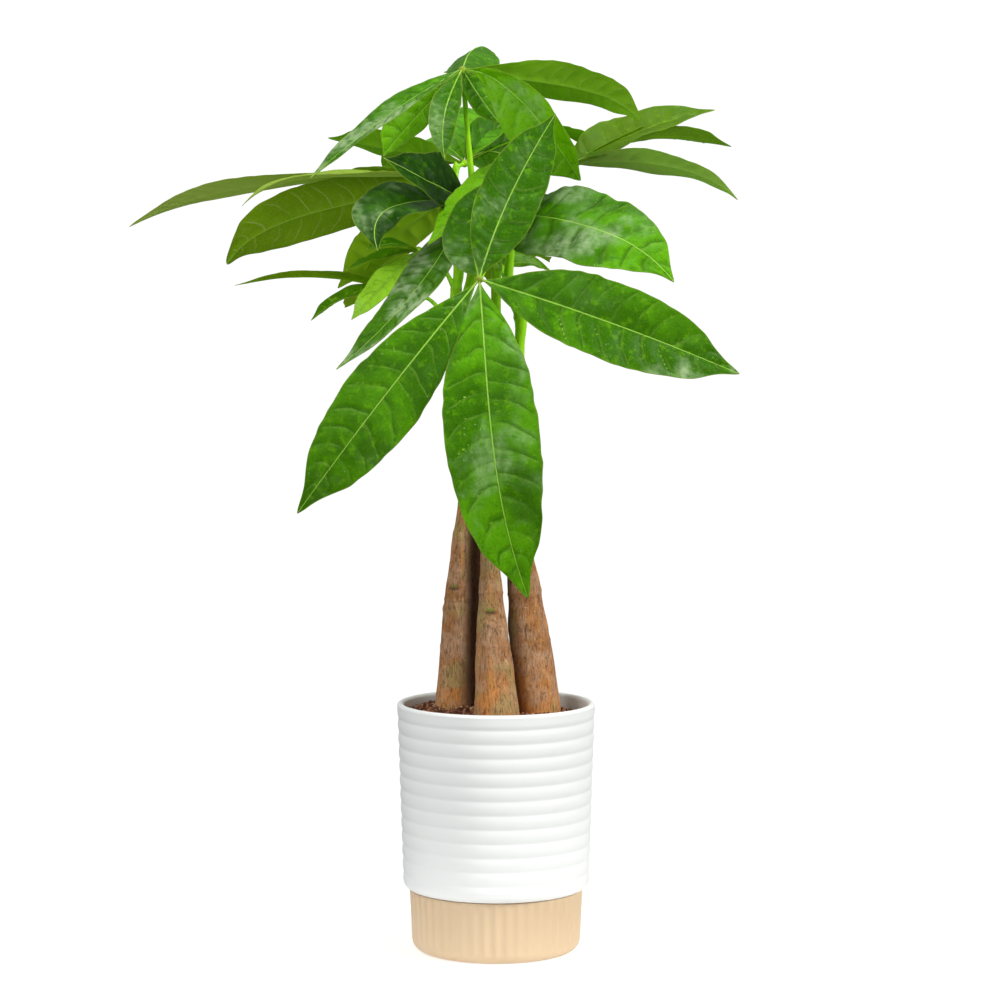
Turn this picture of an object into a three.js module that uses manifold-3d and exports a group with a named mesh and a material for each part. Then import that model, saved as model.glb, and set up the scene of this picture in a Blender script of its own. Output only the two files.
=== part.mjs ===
// A potted money tree: four bottle-shaped trunks in a ringed white pot with a
// fluted tan base cup, and compound leaves of long pointed leaflets above.
// Millimetres, +Z up. The origin is the middle of the base's flat underside.
import * as THREE from "three";
import { mergeVertices } from "three/addons/utils/BufferGeometryUtils.js";
import Module from "manifold-3d";

const wasm = await Module();
wasm.setup();

// ---- driving dimensions -------------------------------------------------
const GAP = 0.3; // clearance between pieces that rest on or in each other
const POT_TOP = 160; // height of the lip above the floor
const POT_RIM_R = 63.5; // outer radius at the lip
const POT_FOOT_R = 59.6; // outer radius just above the lower corner
const POT_WALL = 4.4; // wall at the lip
const POT_CORNER_R = 5.7; // rounding of the lower corner
const SHOULDER_Z = 39.9; // underside of the white shell
const SPIGOT_R = 51.2; // spigot that seats the shell in the cup
const SPIGOT_DROP = 7;
const FLOOR_THICK = 3.2;
const RING_TOP = 150.4; // highest groove
const RING_PITCH = 9.05; // groove to groove
const RING_COUNT = 12;
const GROOVE_DEPTH = 0.7;
const DRAIN_R = 3.5;
const DRAIN_CIRCLE_R = 28;
const BASE_TOP_R = 55.6;
const BASE_LOW_R = 54.2;
const BASE_CORNER_R = 7.6;
const BASE_WALL = 2.9;
const FLUTE_COUNT = 48;
const FLUTE_DEPTH = 0.9;
const SOIL_LEFT_Z = 155; // soil height at the left of the pot
const SOIL_RIGHT_Z = 151.5; // soil height at the right of the pot
const SOIL_LUMP = 1.1; // height of the soil's lumps
const BLADE_THICK = 0.8; // leaflet thickness at its midrib
const BLADE_FOOT = 1.3; // half width where a leaflet leaves the hub
const BLADE_POINT = 0.6; // half width at a leaflet's tip
const EDGE_WAVE = 0.03; // rise and fall of a leaflet's edge, part of its width
const HUB_R = 2.7; // knob where the leaflets of one leaf meet
const STALK_R = { foot: 2, middle: 1.25, hub: 1.7 };
const TRUNK_LOBES = 0.035; // unevenness of a trunk's section
const POT_SIDES = 40;
const BASE_SIDES = FLUTE_COUNT * 2;
const SOIL_SIDES = 26;
const TRUNK_SIDES = 14;
const SHOOT_SIDES = 8;
const STALK_SIDES = 6;

// ---- small helpers ------------------------------------------------------
const V = (a) => new THREE.Vector3(a[0], a[1], a[2]);
const lerp = (a, b, t) => a + (b - a) * t;

function toSolid(geometry) {
  const g = geometry.index ? geometry.clone() : mergeVertices(geometry);
  g.deleteAttribute("normal");
  g.deleteAttribute("uv");
  const m = mergeVertices(g, 1e-4);
  return new wasm.Manifold(new wasm.Mesh({
    numProp: 3,
    vertProperties: new Float32Array(m.attributes.position.array),
    triVerts: new Uint32Array(m.index.array),
  }));
}

function toGeometry(solid) {
  const mesh = solid.getMesh();
  const n = mesh.numProp;
  const pos = new Float32Array((mesh.vertProperties.length / n) * 3);
  for (let i = 0; i < pos.length / 3; i += 1) {
    for (let k = 0; k < 3; k += 1) pos[i * 3 + k] = mesh.vertProperties[i * n + k];
  }
  const g = new THREE.BufferGeometry();
  g.setAttribute("position", new THREE.BufferAttribute(pos, 3));
  g.setIndex(new THREE.BufferAttribute(new Uint32Array(mesh.triVerts), 1));
  g.computeVertexNormals();
  return g;
}

function indexed(points, faces) {
  const g = new THREE.BufferGeometry();
  g.setAttribute("position", new THREE.Float32BufferAttribute(points.flat(), 3));
  g.setIndex(faces.flat());
  return g;
}

// A closed ring profile [radius, height] turned about +Z.
function turned(profile, sides) {
  const pts = profile.map(([r, z]) => new THREE.Vector2(r, z));
  const g = new THREE.LatheGeometry(pts, sides);
  g.rotateX(Math.PI / 2);
  return g;
}

// ---- pot ----------------------------------------------------------------
const potRadius = (z) => lerp(POT_FOOT_R, POT_RIM_R, (z - SHOULDER_Z) / (POT_TOP - SHOULDER_Z));
const innerRadius = (z) => potRadius(z) - lerp(POT_WALL - 1, POT_WALL, (z - 45) / (POT_TOP - 45));

function potProfile() {
  const out = [];
  const under = SHOULDER_Z - SPIGOT_DROP;
  out.push([0, under], [SPIGOT_R, under], [SPIGOT_R, SHOULDER_Z]);
  for (let k = 0; k <= 4; k += 1) {
    const a = (k / 4) * Math.PI * 0.5;
    out.push([
      POT_FOOT_R - POT_CORNER_R + POT_CORNER_R * Math.sin(a),
      SHOULDER_Z + POT_CORNER_R - POT_CORNER_R * Math.cos(a),
    ]);
  }
  for (let k = RING_COUNT - 1; k >= 0; k -= 1) {
    const z = RING_TOP - k * RING_PITCH;
    out.push([potRadius(z) - GROOVE_DEPTH, z]);
    const crest = z + RING_PITCH * (k === 0 ? 0.35 : 0.5);
    out.push([potRadius(crest), crest]);
  }
  const lipR = POT_WALL / 2;
  const mid = POT_RIM_R - lipR;
  for (let k = 0; k <= 4; k += 1) {
    const a = (k / 4) * Math.PI;
    out.push([mid + lipR * Math.cos(a), POT_TOP - lipR + lipR * Math.sin(a)]);
  }
  const floor = under + FLOOR_THICK;
  out.push([innerRadius(100), 100], [innerRadius(50), 50]);
  out.push([SPIGOT_R - 4, floor + 4], [SPIGOT_R - 8, floor], [0, floor]);
  return out;
}

function makePot() {
  let pot = toSolid(turned(potProfile(), POT_SIDES));
  for (let k = 0; k < 5; k += 1) {
    const a = (k / 5) * Math.PI * 2 + 0.3;
    const hole = new THREE.CylinderGeometry(DRAIN_R, DRAIN_R, 20, 10);
    hole.rotateX(Math.PI / 2);
    hole.translate(DRAIN_CIRCLE_R * Math.cos(a), DRAIN_CIRCLE_R * Math.sin(a), SHOULDER_Z - SPIGOT_DROP);
    pot = pot.subtract(toSolid(hole));
  }
  return pot;
}

function makeBase() {
  const top = SHOULDER_Z - GAP;
  const c = BASE_CORNER_R;
  const profile = [
    [0, 0], [BASE_LOW_R - c, 0], [BASE_LOW_R - c * 0.5, c * 0.134], [BASE_LOW_R - c * 0.134, c * 0.5],
    [BASE_LOW_R, c], [BASE_TOP_R, top], [BASE_TOP_R - BASE_WALL, top], [BASE_LOW_R - 5, 4], [0, 3],
  ];
  const g = turned(profile, BASE_SIDES);
  const pos = g.attributes.position;
  for (let i = 0; i < pos.count; i += 1) {
    const x = pos.getX(i);
    const y = pos.getY(i);
    const z = pos.getZ(i);
    const r = Math.hypot(x, y);
    const wallR = lerp(BASE_LOW_R, BASE_TOP_R, (z - c) / (top - c));
    if (z >= c - 0.01 && r > wallR - 0.5) {
      const dip = FLUTE_DEPTH * 0.5 * (1 - Math.cos(Math.atan2(y, x) * FLUTE_COUNT));
      pos.setXYZ(i, (x * (r - dip)) / r, (y * (r - dip)) / r, z);
    }
  }
  return toSolid(g);
}

// ---- tubes: trunks, shoots and leaf stalks ------------------------------
// stations: [x, y, z, radius]. extra swells the tube, for a clearance round it.
// lobes gives woody trunks an uneven section.
function sweep(stations, sides, perSpan, extra = 0, lobes = 0) {
  const curve = new THREE.CatmullRomCurve3(stations.map(V), false, "centripetal");
  const spans = (stations.length - 1) * perSpan;
  const points = [];
  const faces = [];
  let side = new THREE.Vector3(1, 0, 0);
  for (let i = 0; i <= spans; i += 1) {
    const u = i / spans;
    const p = curve.getPoint(u);
    const t = curve.getTangent(u).normalize();
    side = side.clone().addScaledVector(t, -side.dot(t)).normalize();
    const up = new THREE.Vector3().crossVectors(t, side);
    const k = Math.min(Math.floor(i / perSpan), stations.length - 2);
    const f = i / perSpan - k;
    const smooth = f * f * (3 - 2 * f);
    const r = lerp(stations[k][3], stations[k + 1][3], smooth) + extra;
    if (i === 0) p.addScaledVector(t, -extra);
    if (i === spans) p.addScaledVector(t, extra);
    for (let j = 0; j < sides; j += 1) {
      const a = (j / sides) * Math.PI * 2;
      const rr = r * (1 + lobes * Math.sin(3 * a + u * 5));
      const q = p.clone().addScaledVector(side, rr * Math.cos(a)).addScaledVector(up, rr * Math.sin(a));
      points.push([q.x, q.y, q.z]);
    }
  }
  for (let i = 0; i < spans; i += 1) {
    for (let j = 0; j < sides; j += 1) {
      const a = i * sides + j;
      const b = i * sides + ((j + 1) % sides);
      faces.push([a, b, b + sides], [a, b + sides, a + sides]);
    }
  }
  for (let j = 1; j < sides - 1; j += 1) {
    faces.push([0, j + 1, j]);
    const e = spans * sides;
    faces.push([e, e + j, e + j + 1]);
  }
  return toSolid(indexed(points, faces));
}

// Trunk stations from the buried foot to the cut top: [x, y, z, radius].
const TRUNKS = {
  left: [
    [-29, 6, 92, 12.2], [-29, 6, 125, 12.6], [-28.4, 6, 153, 11.6], [-27.4, 6, 178, 9.8],
    [-26, 6, 204, 9.1], [-24.6, 6, 226, 8.6], [-22.4, 6, 255, 6.9], [-19.6, 5, 286, 5.2], [-17.4, 4, 312, 4.4],
  ],
  front: [
    [1, -27, 92, 14.2], [0.6, -27, 126, 15], [0, -26, 154, 14.4], [-1.4, -25, 182, 12.4],
    [-2.4, -24, 208, 10.3], [-3.2, -22, 232, 7.8],
    [-3.8, -20.5, 250, 6.2], [-3.4, -18.5, 276, 5.2], [-2, -17, 302, 4.3],
  ],
  right: [
    [29, 1, 92, 13.6], [28.4, 1, 126, 14.4], [27.4, 1, 154, 13.7], [25.2, 0, 180, 12.6],
    [22.4, 0, 206, 11.2], [19, -1, 230, 10], [15.6, -2, 252, 8.4], [12, -3, 280, 6.6], [10, -3, 306, 5.6],
  ],
  back: [
    [-3, 33, 92, 11], [-3.4, 33, 126, 11.8], [-4, 32, 154, 11.4], [-5.4, 30, 182, 10],
    [-6.8, 27, 208, 8.6], [-8, 24, 232, 7.4], [-8.8, 21, 256, 6], [-9, 19, 280, 5.1], [-9, 18, 298, 4.4],
  ],
};

// Green shoots carried by the trunk tops. Each starts just above its trunk.
const SHOOTS = {
  left: [
    [-17.3, 3.9, 312.6, 3.9], [-19.5, 2, 350, 3.2], [-22, 0, 405, 3.1], [-15, -2, 434, 3.4],
    [-13, -6, 462, 2.6], [-15, -10, 492, 2],
  ],
  front: [
    [-1.9, -16.9, 302.6, 3.8], [1.5, -16, 350, 3.1], [0.3, -14, 400, 3],
    [0.3, -16, 436, 3.2], [3, -21, 458, 2.2],
  ],
  right: [
    [10.1, -3, 307, 5], [14, -2, 350, 3.8], [15, -1, 388, 3.2], [15.4, -1, 407, 4], [8.5, 3, 424, 3.1],
    [9, 6, 448, 2.9], [12, 10, 478, 2.2],
  ],
  back: [
    [-9, 17.9, 298.6, 3.9], [-17, 18, 350, 3.3], [-27, 16, 410, 3.1], [-24, 20, 436, 3.4],
    [-27, 26, 470, 2.8], [-26, 34, 506, 2.1],
  ],
};

// ---- leaves -------------------------------------------------------------
// from: point inside the shoot that carries the leaf. via: the stalk's middle.
// hub: where its leaflets meet.
// Leaflets: mid and tip of the midrib, full width w, face = the way the upper
// surface looks, fold = degrees each half is raised, n = stations along the
// blade, hook = pull on the outer half that makes the tip droop.
const LEAVES = {
  leaf_front: {
    color: 0x3c7a2c, from: [0.3, -16, 438], via: [-2, -56, 446], hub: [-10, -100, 432],
    blades: [
      { mid: [-64, -126, 366], tip: [-120, -115, 291], w: 49, face: [0, -1, 0.15], fold: 7, n: 9 },
      { mid: [-1, -128, 337], tip: [19, -118, 241], w: 56, face: [0, -1, 0.1], fold: 7, n: 9 },
      { mid: [69, -112, 406], tip: [149, -82, 374], w: 52, face: [0.05, -0.97, 0.3], fold: 8, n: 9 },
      { mid: [9, -80, 481], tip: [37, -46, 533], w: 44, face: [0.05, -1, 0.1], fold: 9, n: 8 },
      { mid: [-15, -90, 467], tip: [-6, -72, 500], w: 33, face: [-0.2, -0.95, 0.1], fold: 10, n: 7 },
    ],
  },
  leaf_top: {
    color: 0x4a8a2e, from: [-15, -10, 491], via: [-18, -12, 524], hub: [-21, -20, 562],
    blades: [
      { mid: [-69, -44, 529], tip: [-115, -60, 493], w: 36, face: [-0.5, -0.3, 0.85], fold: 10, n: 8 },
      { mid: [-43, -10, 540], tip: [-68, -6, 508], w: 34, face: [-0.4, -0.6, 0.7], fold: 26, n: 7 },
      { mid: [-31, -58, 541], tip: [-30, -78, 506], w: 36, face: [-0.1, -0.6, 0.8], fold: 26, n: 7 },
      { mid: [21, -58, 536], tip: [52, -74, 492], w: 46, face: [0.3, -0.8, 0.55], fold: 12, n: 8 },
      { mid: [41, 8, 551], tip: [92, 16, 532], w: 42, face: [0.1, 0.65, 0.75], fold: 10, n: 8 },
      { mid: [-14, 22, 573], tip: [-5, 58, 576], w: 28, face: [0, -0.3, 1], fold: 8, n: 7 },
      { mid: [-9, -40, 543], tip: [2, -50, 528], w: 24, face: [0.5, -0.8, 0.4], fold: 8, n: 6 },
    ],
  },
  leaf_crown: {
    color: 0x3f7d2b, from: [-26, 34, 503], via: [-24, 39, 508], hub: [-20, 45, 512],
    blades: [
      { mid: [-64, 62, 519], tip: [-110, 72, 522], w: 34, face: [-0.05, 0.45, 0.9], fold: 10, n: 7 },
      { mid: [1, 60, 520], tip: [20, 72, 516], w: 30, face: [0.05, 0.4, 0.9], fold: 10, n: 6 },
      { mid: [-7, 78, 534], tip: [0, 122, 534], w: 42, face: [0, -0.5, 0.8], fold: 8, n: 7 },
      { mid: [-48, 102, 520], tip: [-76, 152, 494], w: 42, face: [-0.3, 0.3, 1], fold: 12, n: 7 },
      { mid: [32, 92, 526], tip: [72, 126, 509], w: 42, face: [0.3, 0.2, 1], fold: 12, n: 7 },
    ],
  },
  leaf_right: {
    color: 0x447f2d, from: [12, 10, 476], via: [26, 18, 494], hub: [49, 25, 504],
    blades: [
      { mid: [96, 44, 527], tip: [142, 58, 540], w: 42, face: [-0.25, -0.45, 0.9], fold: 14, n: 8 },
      { mid: [99, 64, 521], tip: [149, 88, 522], w: 34, face: [-0.1, 0.2, 1], fold: 12, n: 7 },
      { mid: [102, 16, 508], tip: [153, -2, 481], w: 36, face: [0.15, 0.3, 0.95], fold: 12, n: 8 },
      { mid: [-2, -42, 499], tip: [-43, -79, 452], w: 31, face: [-0.4, -0.65, 0.65], fold: 20, n: 8 },
      { mid: [54, 74, 516], tip: [50, 128, 512], w: 36, face: [0, -0.1, 1], fold: 12, n: 7 },
    ],
  },
  leaf_middle: {
    color: 0x3f8130, from: [10, 8, 462], via: [11, 3, 467], hub: [10, -5, 471],
    blades: [
      { mid: [64, -46, 466], tip: [109, -76, 430], w: 48, face: [0.25, -0.9, 0.5], fold: 8, n: 9 },
      { mid: [46, 36, 468], tip: [80, 72, 450], w: 36, face: [0.1, 0.1, 1], fold: 12, n: 7 },
    ],
  },
  leaf_dark: {
    color: 0x2f6a2a, from: [-14, -7, 470], via: [-16, -15, 477], hub: [-19, -22, 481],
    blades: [
      { mid: [-43, -50, 494], tip: [-69, -70, 506], w: 32, face: [-0.1, -0.75, 0.65], fold: 10, n: 7 },
      {
        mid: [-60, -60, 486], tip: [-72, -84, 450], w: 36,
        face: [-0.2, -0.55, 0.85], fold: 12, n: 8, hook: [-12, 0, 10],
      },
      { mid: [-46, -72, 426], tip: [-97, -92, 377], w: 40, face: [-0.55, -0.65, 0.5], fold: 8, n: 9 },
    ],
  },
  leaf_long: {
    color: 0x5c8a35, from: [-27, 28, 478], via: [-31, 29, 490], hub: [-38, 30, 499],
    blades: [
      {
        mid: [-133, 46, 488], tip: [-238, 48, 464], w: 36,
        face: [-0.05, 0.35, 0.95], fold: 10, n: 9, hook: [-16, 0, 8],
      },
      {
        mid: [-103, 8, 499], tip: [-161, 0, 478], w: 34,
        face: [-0.1, -0.1, 1], fold: 14, n: 8, hook: [-12, 0, 10],
      },
      {
        mid: [-107, 24, 476], tip: [-172, 14, 440], w: 42,
        face: [-0.1, 0.8, 0.55], fold: 6, n: 9, hook: [-20, 0, 12],
      },
      { mid: [-98, 88, 490], tip: [-142, 130, 462], w: 42, face: [-0.2, 0.4, 1], fold: 12, n: 7 },
    ],
  },
  leaf_pale: {
    color: 0x8fae4a, from: [-25, 22, 446], via: [-28, 38, 470], hub: [-32, 58, 482],
    blades: [
      { mid: [-68, 68, 457], tip: [-104, 72, 424], w: 42, face: [-0.45, 0.75, 0.5], fold: 6, n: 8 },
      { mid: [-62, 106, 470], tip: [-80, 142, 438], w: 40, face: [-0.3, 0.5, 0.8], fold: 12, n: 7 },
      { mid: [-10, 106, 470], tip: [4, 146, 438], w: 40, face: [0.2, 0.6, 0.8], fold: 12, n: 7 },
    ],
  },
  leaf_young: {
    color: 0x6fa23c, from: [-26, 17, 424], via: [-36, 27, 442], hub: [-50, 32, 449],
    blades: [
      { mid: [-72, 14, 430], tip: [-92, 2, 405], w: 20, face: [-0.6, -0.7, 0.5], fold: 6, n: 7 },
      { mid: [-66, 16, 453], tip: [-83, 6, 449], w: 16, face: [-0.1, -0.5, 0.9], fold: 10, n: 6 },
      { mid: [-73, 26, 445], tip: [-97, 24, 436], w: 18, face: [-0.3, -0.3, 0.9], fold: 12, n: 6 },
      { mid: [-66, 56, 446], tip: [-88, 76, 426], w: 22, face: [-0.4, 0.5, 0.8], fold: 12, n: 6 },
    ],
  },
  leaf_sprig: {
    color: 0x7da642, from: [-26, 16, 402], via: [-44, 26, 418], hub: [-66, 34, 423],
    blades: [
      { mid: [-116, 44, 434], tip: [-170, 50, 426], w: 24, face: [-0.05, 0.3, 1], fold: 14, n: 7 },
      { mid: [-94, 30, 420], tip: [-119, 24, 404], w: 22, face: [-0.3, -0.3, 0.9], fold: 14, n: 7 },
      { mid: [-84, 62, 420], tip: [-106, 84, 402], w: 24, face: [-0.4, 0.4, 0.9], fold: 12, n: 6 },
    ],
  },
  leaf_low: {
    color: 0x86ab45, from: [8.5, 3, 424], via: [5, 8, 432], hub: [3, 14, 438],
    blades: [
      { mid: [20, 26, 441], tip: [37, 34, 434], w: 22, face: [0.05, -0.4, 0.9], fold: 10, n: 6 },
      { mid: [20, 48, 446], tip: [35, 72, 441], w: 24, face: [0.1, -0.3, 1], fold: 10, n: 6 },
      { mid: [0, 52, 440], tip: [-4, 82, 426], w: 26, face: [0, 0.3, 1], fold: 12, n: 6 },
    ],
  },
  leaf_back: {
    color: 0x3a742b, from: [9.5, 7, 452], via: [24, 44, 472], hub: [40, 84, 478],
    blades: [
      { mid: [80, 108, 468], tip: [102, 128, 440], w: 40, face: [0.4, 0.2, 1], fold: 10, n: 7 },
      { mid: [64, 134, 466], tip: [70, 174, 446], w: 40, face: [0.2, 0.3, 1], fold: 10, n: 7 },
      { mid: [36, 138, 482], tip: [26, 190, 452], w: 42, face: [-0.1, 0.5, 1], fold: 10, n: 8 },
      { mid: [4, 118, 470], tip: [-26, 160, 448], w: 38, face: [-0.2, 0.4, 1], fold: 12, n: 7 },
    ],
  },
};

// Half width of a leaflet at s = 0..1 along its midrib, for a full width of 1.
function outline(s) {
  return 0.5 * Math.sin(Math.PI * Math.min(1, s) ** 0.9) ** 0.75 * (1 - Math.exp(-s / 0.08));
}

const FIRST_STATION = 0.07; // end of a leaflet's short stalk

function bladeSolid(hub, b) {
  const a = V(hub);
  const e = V(b.tip);
  const along = e.clone().sub(a);
  const face = V(b.face).normalize();
  const lift = face.clone().addScaledVector(along, -face.dot(along) / along.lengthSq()).normalize();
  const arch = V(b.mid).sub(a.clone().add(e).multiplyScalar(0.5)).multiplyScalar(4 / 3);
  const hook = V(b.hook || [0, 0, 0]);
  const c1 = a.clone().addScaledVector(along, 1 / 3).add(arch).sub(hook);
  const c2 = a.clone().addScaledVector(along, 2 / 3).add(arch).add(hook);
  const curve = new THREE.CubicBezierCurve3(a, c1, c2, e);
  const points = [];
  const faces = [];
  const last = b.n - 1;
  for (let i = 0; i <= last; i += 1) {
    const s = i === 0 ? 0 : lerp(FIRST_STATION, 1, (i - 1) / (last - 1));
    const p = curve.getPoint(s);
    const t = curve.getTangent(s).normalize();
    const side = new THREE.Vector3().crossVectors(t, lift).normalize();
    const up = new THREE.Vector3().crossVectors(side, t).normalize();
    const half = Math.max(b.w * outline(s), i === last ? BLADE_POINT : BLADE_FOOT);
    const fold = THREE.MathUtils.degToRad(b.fold);
    for (const level of [BLADE_THICK / 2, -BLADE_THICK / 2]) {
      for (const k of [-1, 0, 1]) {
        const wave = 2 * EDGE_WAVE * half * Math.sin(s * 14 + k * 2);
        const rise = Math.abs(k) * (half * Math.sin(fold) + wave) + level;
        const q = p.clone().addScaledVector(side, k * half * Math.cos(fold)).addScaledVector(up, rise);
        points.push([q.x, q.y, q.z]);
      }
    }
  }
  for (let i = 0; i < last; i += 1) {
    const m = i * 6;
    const n = m + 6;
    // upper 0 1 2, lower 3 4 5, split alike on both faces
    faces.push([m, m + 1, n + 1], [m, n + 1, n], [m + 1, m + 2, n + 1], [m + 2, n + 2, n + 1]);
    faces.push([m + 3, n + 4, m + 4], [m + 3, n + 3, n + 4], [m + 4, n + 4, m + 5], [m + 5, n + 4, n + 5]);
    faces.push([m, n, n + 3], [m, n + 3, m + 3], [m + 2, m + 5, n + 5], [m + 2, n + 5, n + 2]);
  }
  faces.push([0, 3, 4], [0, 4, 1], [1, 4, 5], [1, 5, 2]);
  const z = last * 6;
  faces.push([z, z + 1, z + 4], [z, z + 4, z + 3], [z + 1, z + 2, z + 5], [z + 1, z + 5, z + 4]);
  return toSolid(indexed(points, faces));
}

function leafSolid(leaf, shootSolids) {
  const { from, via, hub } = leaf;
  const between = (a, b, radius) => [...V(a).lerp(V(b), 0.5).toArray(), radius];
  const stalk = [
    [...from, STALK_R.foot], between(from, via, STALK_R.middle * 1.2), [...via, STALK_R.middle],
    between(via, hub, STALK_R.middle), [...hub, STALK_R.hub],
  ];
  let solid = sweep(stalk, STALK_SIDES, 2);
  const knob = new THREE.IcosahedronGeometry(HUB_R, 1);
  knob.translate(hub[0], hub[1], hub[2]);
  solid = solid.add(toSolid(knob));
  for (const b of leaf.blades) solid = solid.add(bladeSolid(hub, b));
  for (const s of shootSolids) solid = solid.subtract(s);
  // keep the part that holds the hub, without the stub inside the shoot
  const parts = solid.decompose();
  parts.sort((p, q) => q.volume() - p.volume());
  return parts[0];
}

// ---- soil ---------------------------------------------------------------
function makeSoil(trunkHoles) {
  const floor = SHOULDER_Z - SPIGOT_DROP + FLOOR_THICK;
  const rTop = innerRadius(SOIL_RIGHT_Z) - GAP - 0.15;
  const g = turned([
    [0, floor + GAP], [SPIGOT_R - 8 - GAP, floor + GAP], [SPIGOT_R - 4 - GAP * 1.5, floor + 4 + GAP],
    [innerRadius(50) - GAP - 0.15, 50 + GAP], [innerRadius(100) - GAP - 0.15, 100],
    [rTop * 0.99, 151], [rTop * 0.8, 153], [rTop * 0.45, 154], [0, 153.5],
  ], SOIL_SIDES);
  const pos = g.attributes.position;
  for (let i = 0; i < pos.count; i += 1) {
    const x = pos.getX(i);
    const y = pos.getY(i);
    let z = pos.getZ(i);
    if (z > 145) {
      const lean = lerp(SOIL_LEFT_Z, SOIL_RIGHT_Z, (x / rTop + 1) / 2) - 153;
      z += lean + SOIL_LUMP * Math.sin(x * 0.21 + y * 0.13) * Math.cos(y * 0.17 - x * 0.05);
      pos.setZ(i, z);
    }
  }
  let soil = toSolid(g);
  for (const h of trunkHoles) soil = soil.subtract(h);
  return soil;
}

// ---- assembly -----------------------------------------------------------
const plant = new THREE.Group();
plant.name = "potted_money_tree";

function put(name, solid, color, roughness) {
  const mesh = new THREE.Mesh(toGeometry(solid), new THREE.MeshStandardMaterial({ color, roughness }));
  mesh.name = name;
  plant.add(mesh);
}

put("base_cup", makeBase(), 0xe2c8a2, 0.55);
put("pot_shell", makePot(), 0xf2f3f1, 0.45);

const holes = Object.values(TRUNKS).map((s) => sweep(s, TRUNK_SIDES, 1, GAP, TRUNK_LOBES));
put("soil", makeSoil(holes), 0x3b2a1e, 0.95);
for (const [name, s] of Object.entries(TRUNKS)) {
  put(`trunk_${name}`, sweep(s, TRUNK_SIDES, 1, 0, TRUNK_LOBES), 0x7d6a55, 0.85);
}
for (const [name, s] of Object.entries(SHOOTS)) put(`shoot_${name}`, sweep(s, SHOOT_SIDES, 1), 0x5d8a3a, 0.6);
const clearances = Object.values(SHOOTS).map((s) => sweep(s, SHOOT_SIDES, 1, GAP));
for (const [name, leaf] of Object.entries(LEAVES)) put(name, leafSolid(leaf, clearances), leaf.color, 0.4);

export default plant;
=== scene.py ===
"""Looks of a potted money tree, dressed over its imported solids.

The frame is in metres with +Z up. The tables below are in millimetres, the way
the plant was measured, and become metres where a mesh is made.
"""
from __future__ import annotations

import logging
import math
import sys
from dataclasses import dataclass
from enum import Enum
from typing import Any, Optional, Sequence

import bpy
import numpy as np
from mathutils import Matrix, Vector

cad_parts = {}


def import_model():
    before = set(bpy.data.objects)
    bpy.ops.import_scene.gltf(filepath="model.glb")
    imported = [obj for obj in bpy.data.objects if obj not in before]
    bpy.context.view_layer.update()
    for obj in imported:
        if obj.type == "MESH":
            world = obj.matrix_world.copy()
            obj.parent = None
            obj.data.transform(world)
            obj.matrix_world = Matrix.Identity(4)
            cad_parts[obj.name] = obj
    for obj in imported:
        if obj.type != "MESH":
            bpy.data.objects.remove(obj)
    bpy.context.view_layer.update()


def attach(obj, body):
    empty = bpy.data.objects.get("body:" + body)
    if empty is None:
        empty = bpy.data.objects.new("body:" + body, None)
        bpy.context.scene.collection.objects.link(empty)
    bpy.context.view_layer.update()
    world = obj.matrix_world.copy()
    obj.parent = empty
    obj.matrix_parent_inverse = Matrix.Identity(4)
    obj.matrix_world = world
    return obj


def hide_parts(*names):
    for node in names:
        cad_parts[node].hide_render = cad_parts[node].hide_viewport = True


LOG = logging.getLogger("money_tree")
MM = 0.001  # metres in a millimetre
BODY = "root"  # the one body that every piece rides on

Triple = tuple[float, float, float]
Colour = tuple[float, float, float, float]
WHITE: Colour = (1.0, 1.0, 1.0, 1.0)
FULL_TURN = 6.28  # radians, near enough for a random turn


def paint(red: int, green: int, blue: int) -> Colour:
    """Turn a listed colour into the linear one that shaders use.

    Args:
        red: Red, 0 to 255.
        green: Green, 0 to 255.
        blue: Blue, 0 to 255.

    Returns:
        The linear colour, with full alpha.
    """
    linear = []
    for level in (red, green, blue):
        c = level / 255
        linear.append(c / 12.92 if c <= 0.04045 else ((c + 0.055) / 1.055) ** 2.4)
    return (linear[0], linear[1], linear[2], 1.0)


# ---- formulas as node trees
class Term:
    """One value inside a node tree, usable in Python formulas."""

    def __init__(self, kit: NodeKit, socket: Any, vector: bool = False) -> None:
        """Wrap an output socket.

        Args:
            socket: The socket that gives the value.
            vector: True for a vector.
        """
        self.kit = kit
        self.socket = socket
        self.vector = vector

    def _pair(self, operation: str, other: Any, swapped: bool = False) -> Term:
        """Join this term and another by one math node.

        Args:
            operation: Name of the operation.
            other: The other term or number.
            swapped: True where the other comes first.

        Returns:
            The result.
        """
        first, second = (other, self) if swapped else (self, other)
        is_vector = self.vector or getattr(other, "vector", False)
        if not is_vector:
            return self.kit.math(operation, first, second)
        if operation == "MULTIPLY":
            vector, number = (first, second) if getattr(first, "vector", False) else (second, first)
            if not getattr(number, "vector", False):
                return self.kit.scaled(vector, number)
        return self.kit.vector_math(operation, first, second)

    def __add__(self, other: Any) -> Term:
        """Sum."""
        return self._pair("ADD", other)

    def __radd__(self, other: Any) -> Term:
        """Sum, with the number first."""
        return self._pair("ADD", other, swapped=True)

    def __sub__(self, other: Any) -> Term:
        """Difference."""
        return self._pair("SUBTRACT", other)

    def __rsub__(self, other: Any) -> Term:
        """Difference, with the number first."""
        return self._pair("SUBTRACT", other, swapped=True)

    def __mul__(self, other: Any) -> Term:
        """Product."""
        return self._pair("MULTIPLY", other)

    def __rmul__(self, other: Any) -> Term:
        """Product, with the number first."""
        return self._pair("MULTIPLY", other, swapped=True)

    def __truediv__(self, other: Any) -> Term:
        """Quotient of two numbers."""
        return self.kit.math("DIVIDE", self, other)

    def __pow__(self, power: Any) -> Term:
        """Power of a number."""
        return self.kit.math("POWER", self, power)


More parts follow.
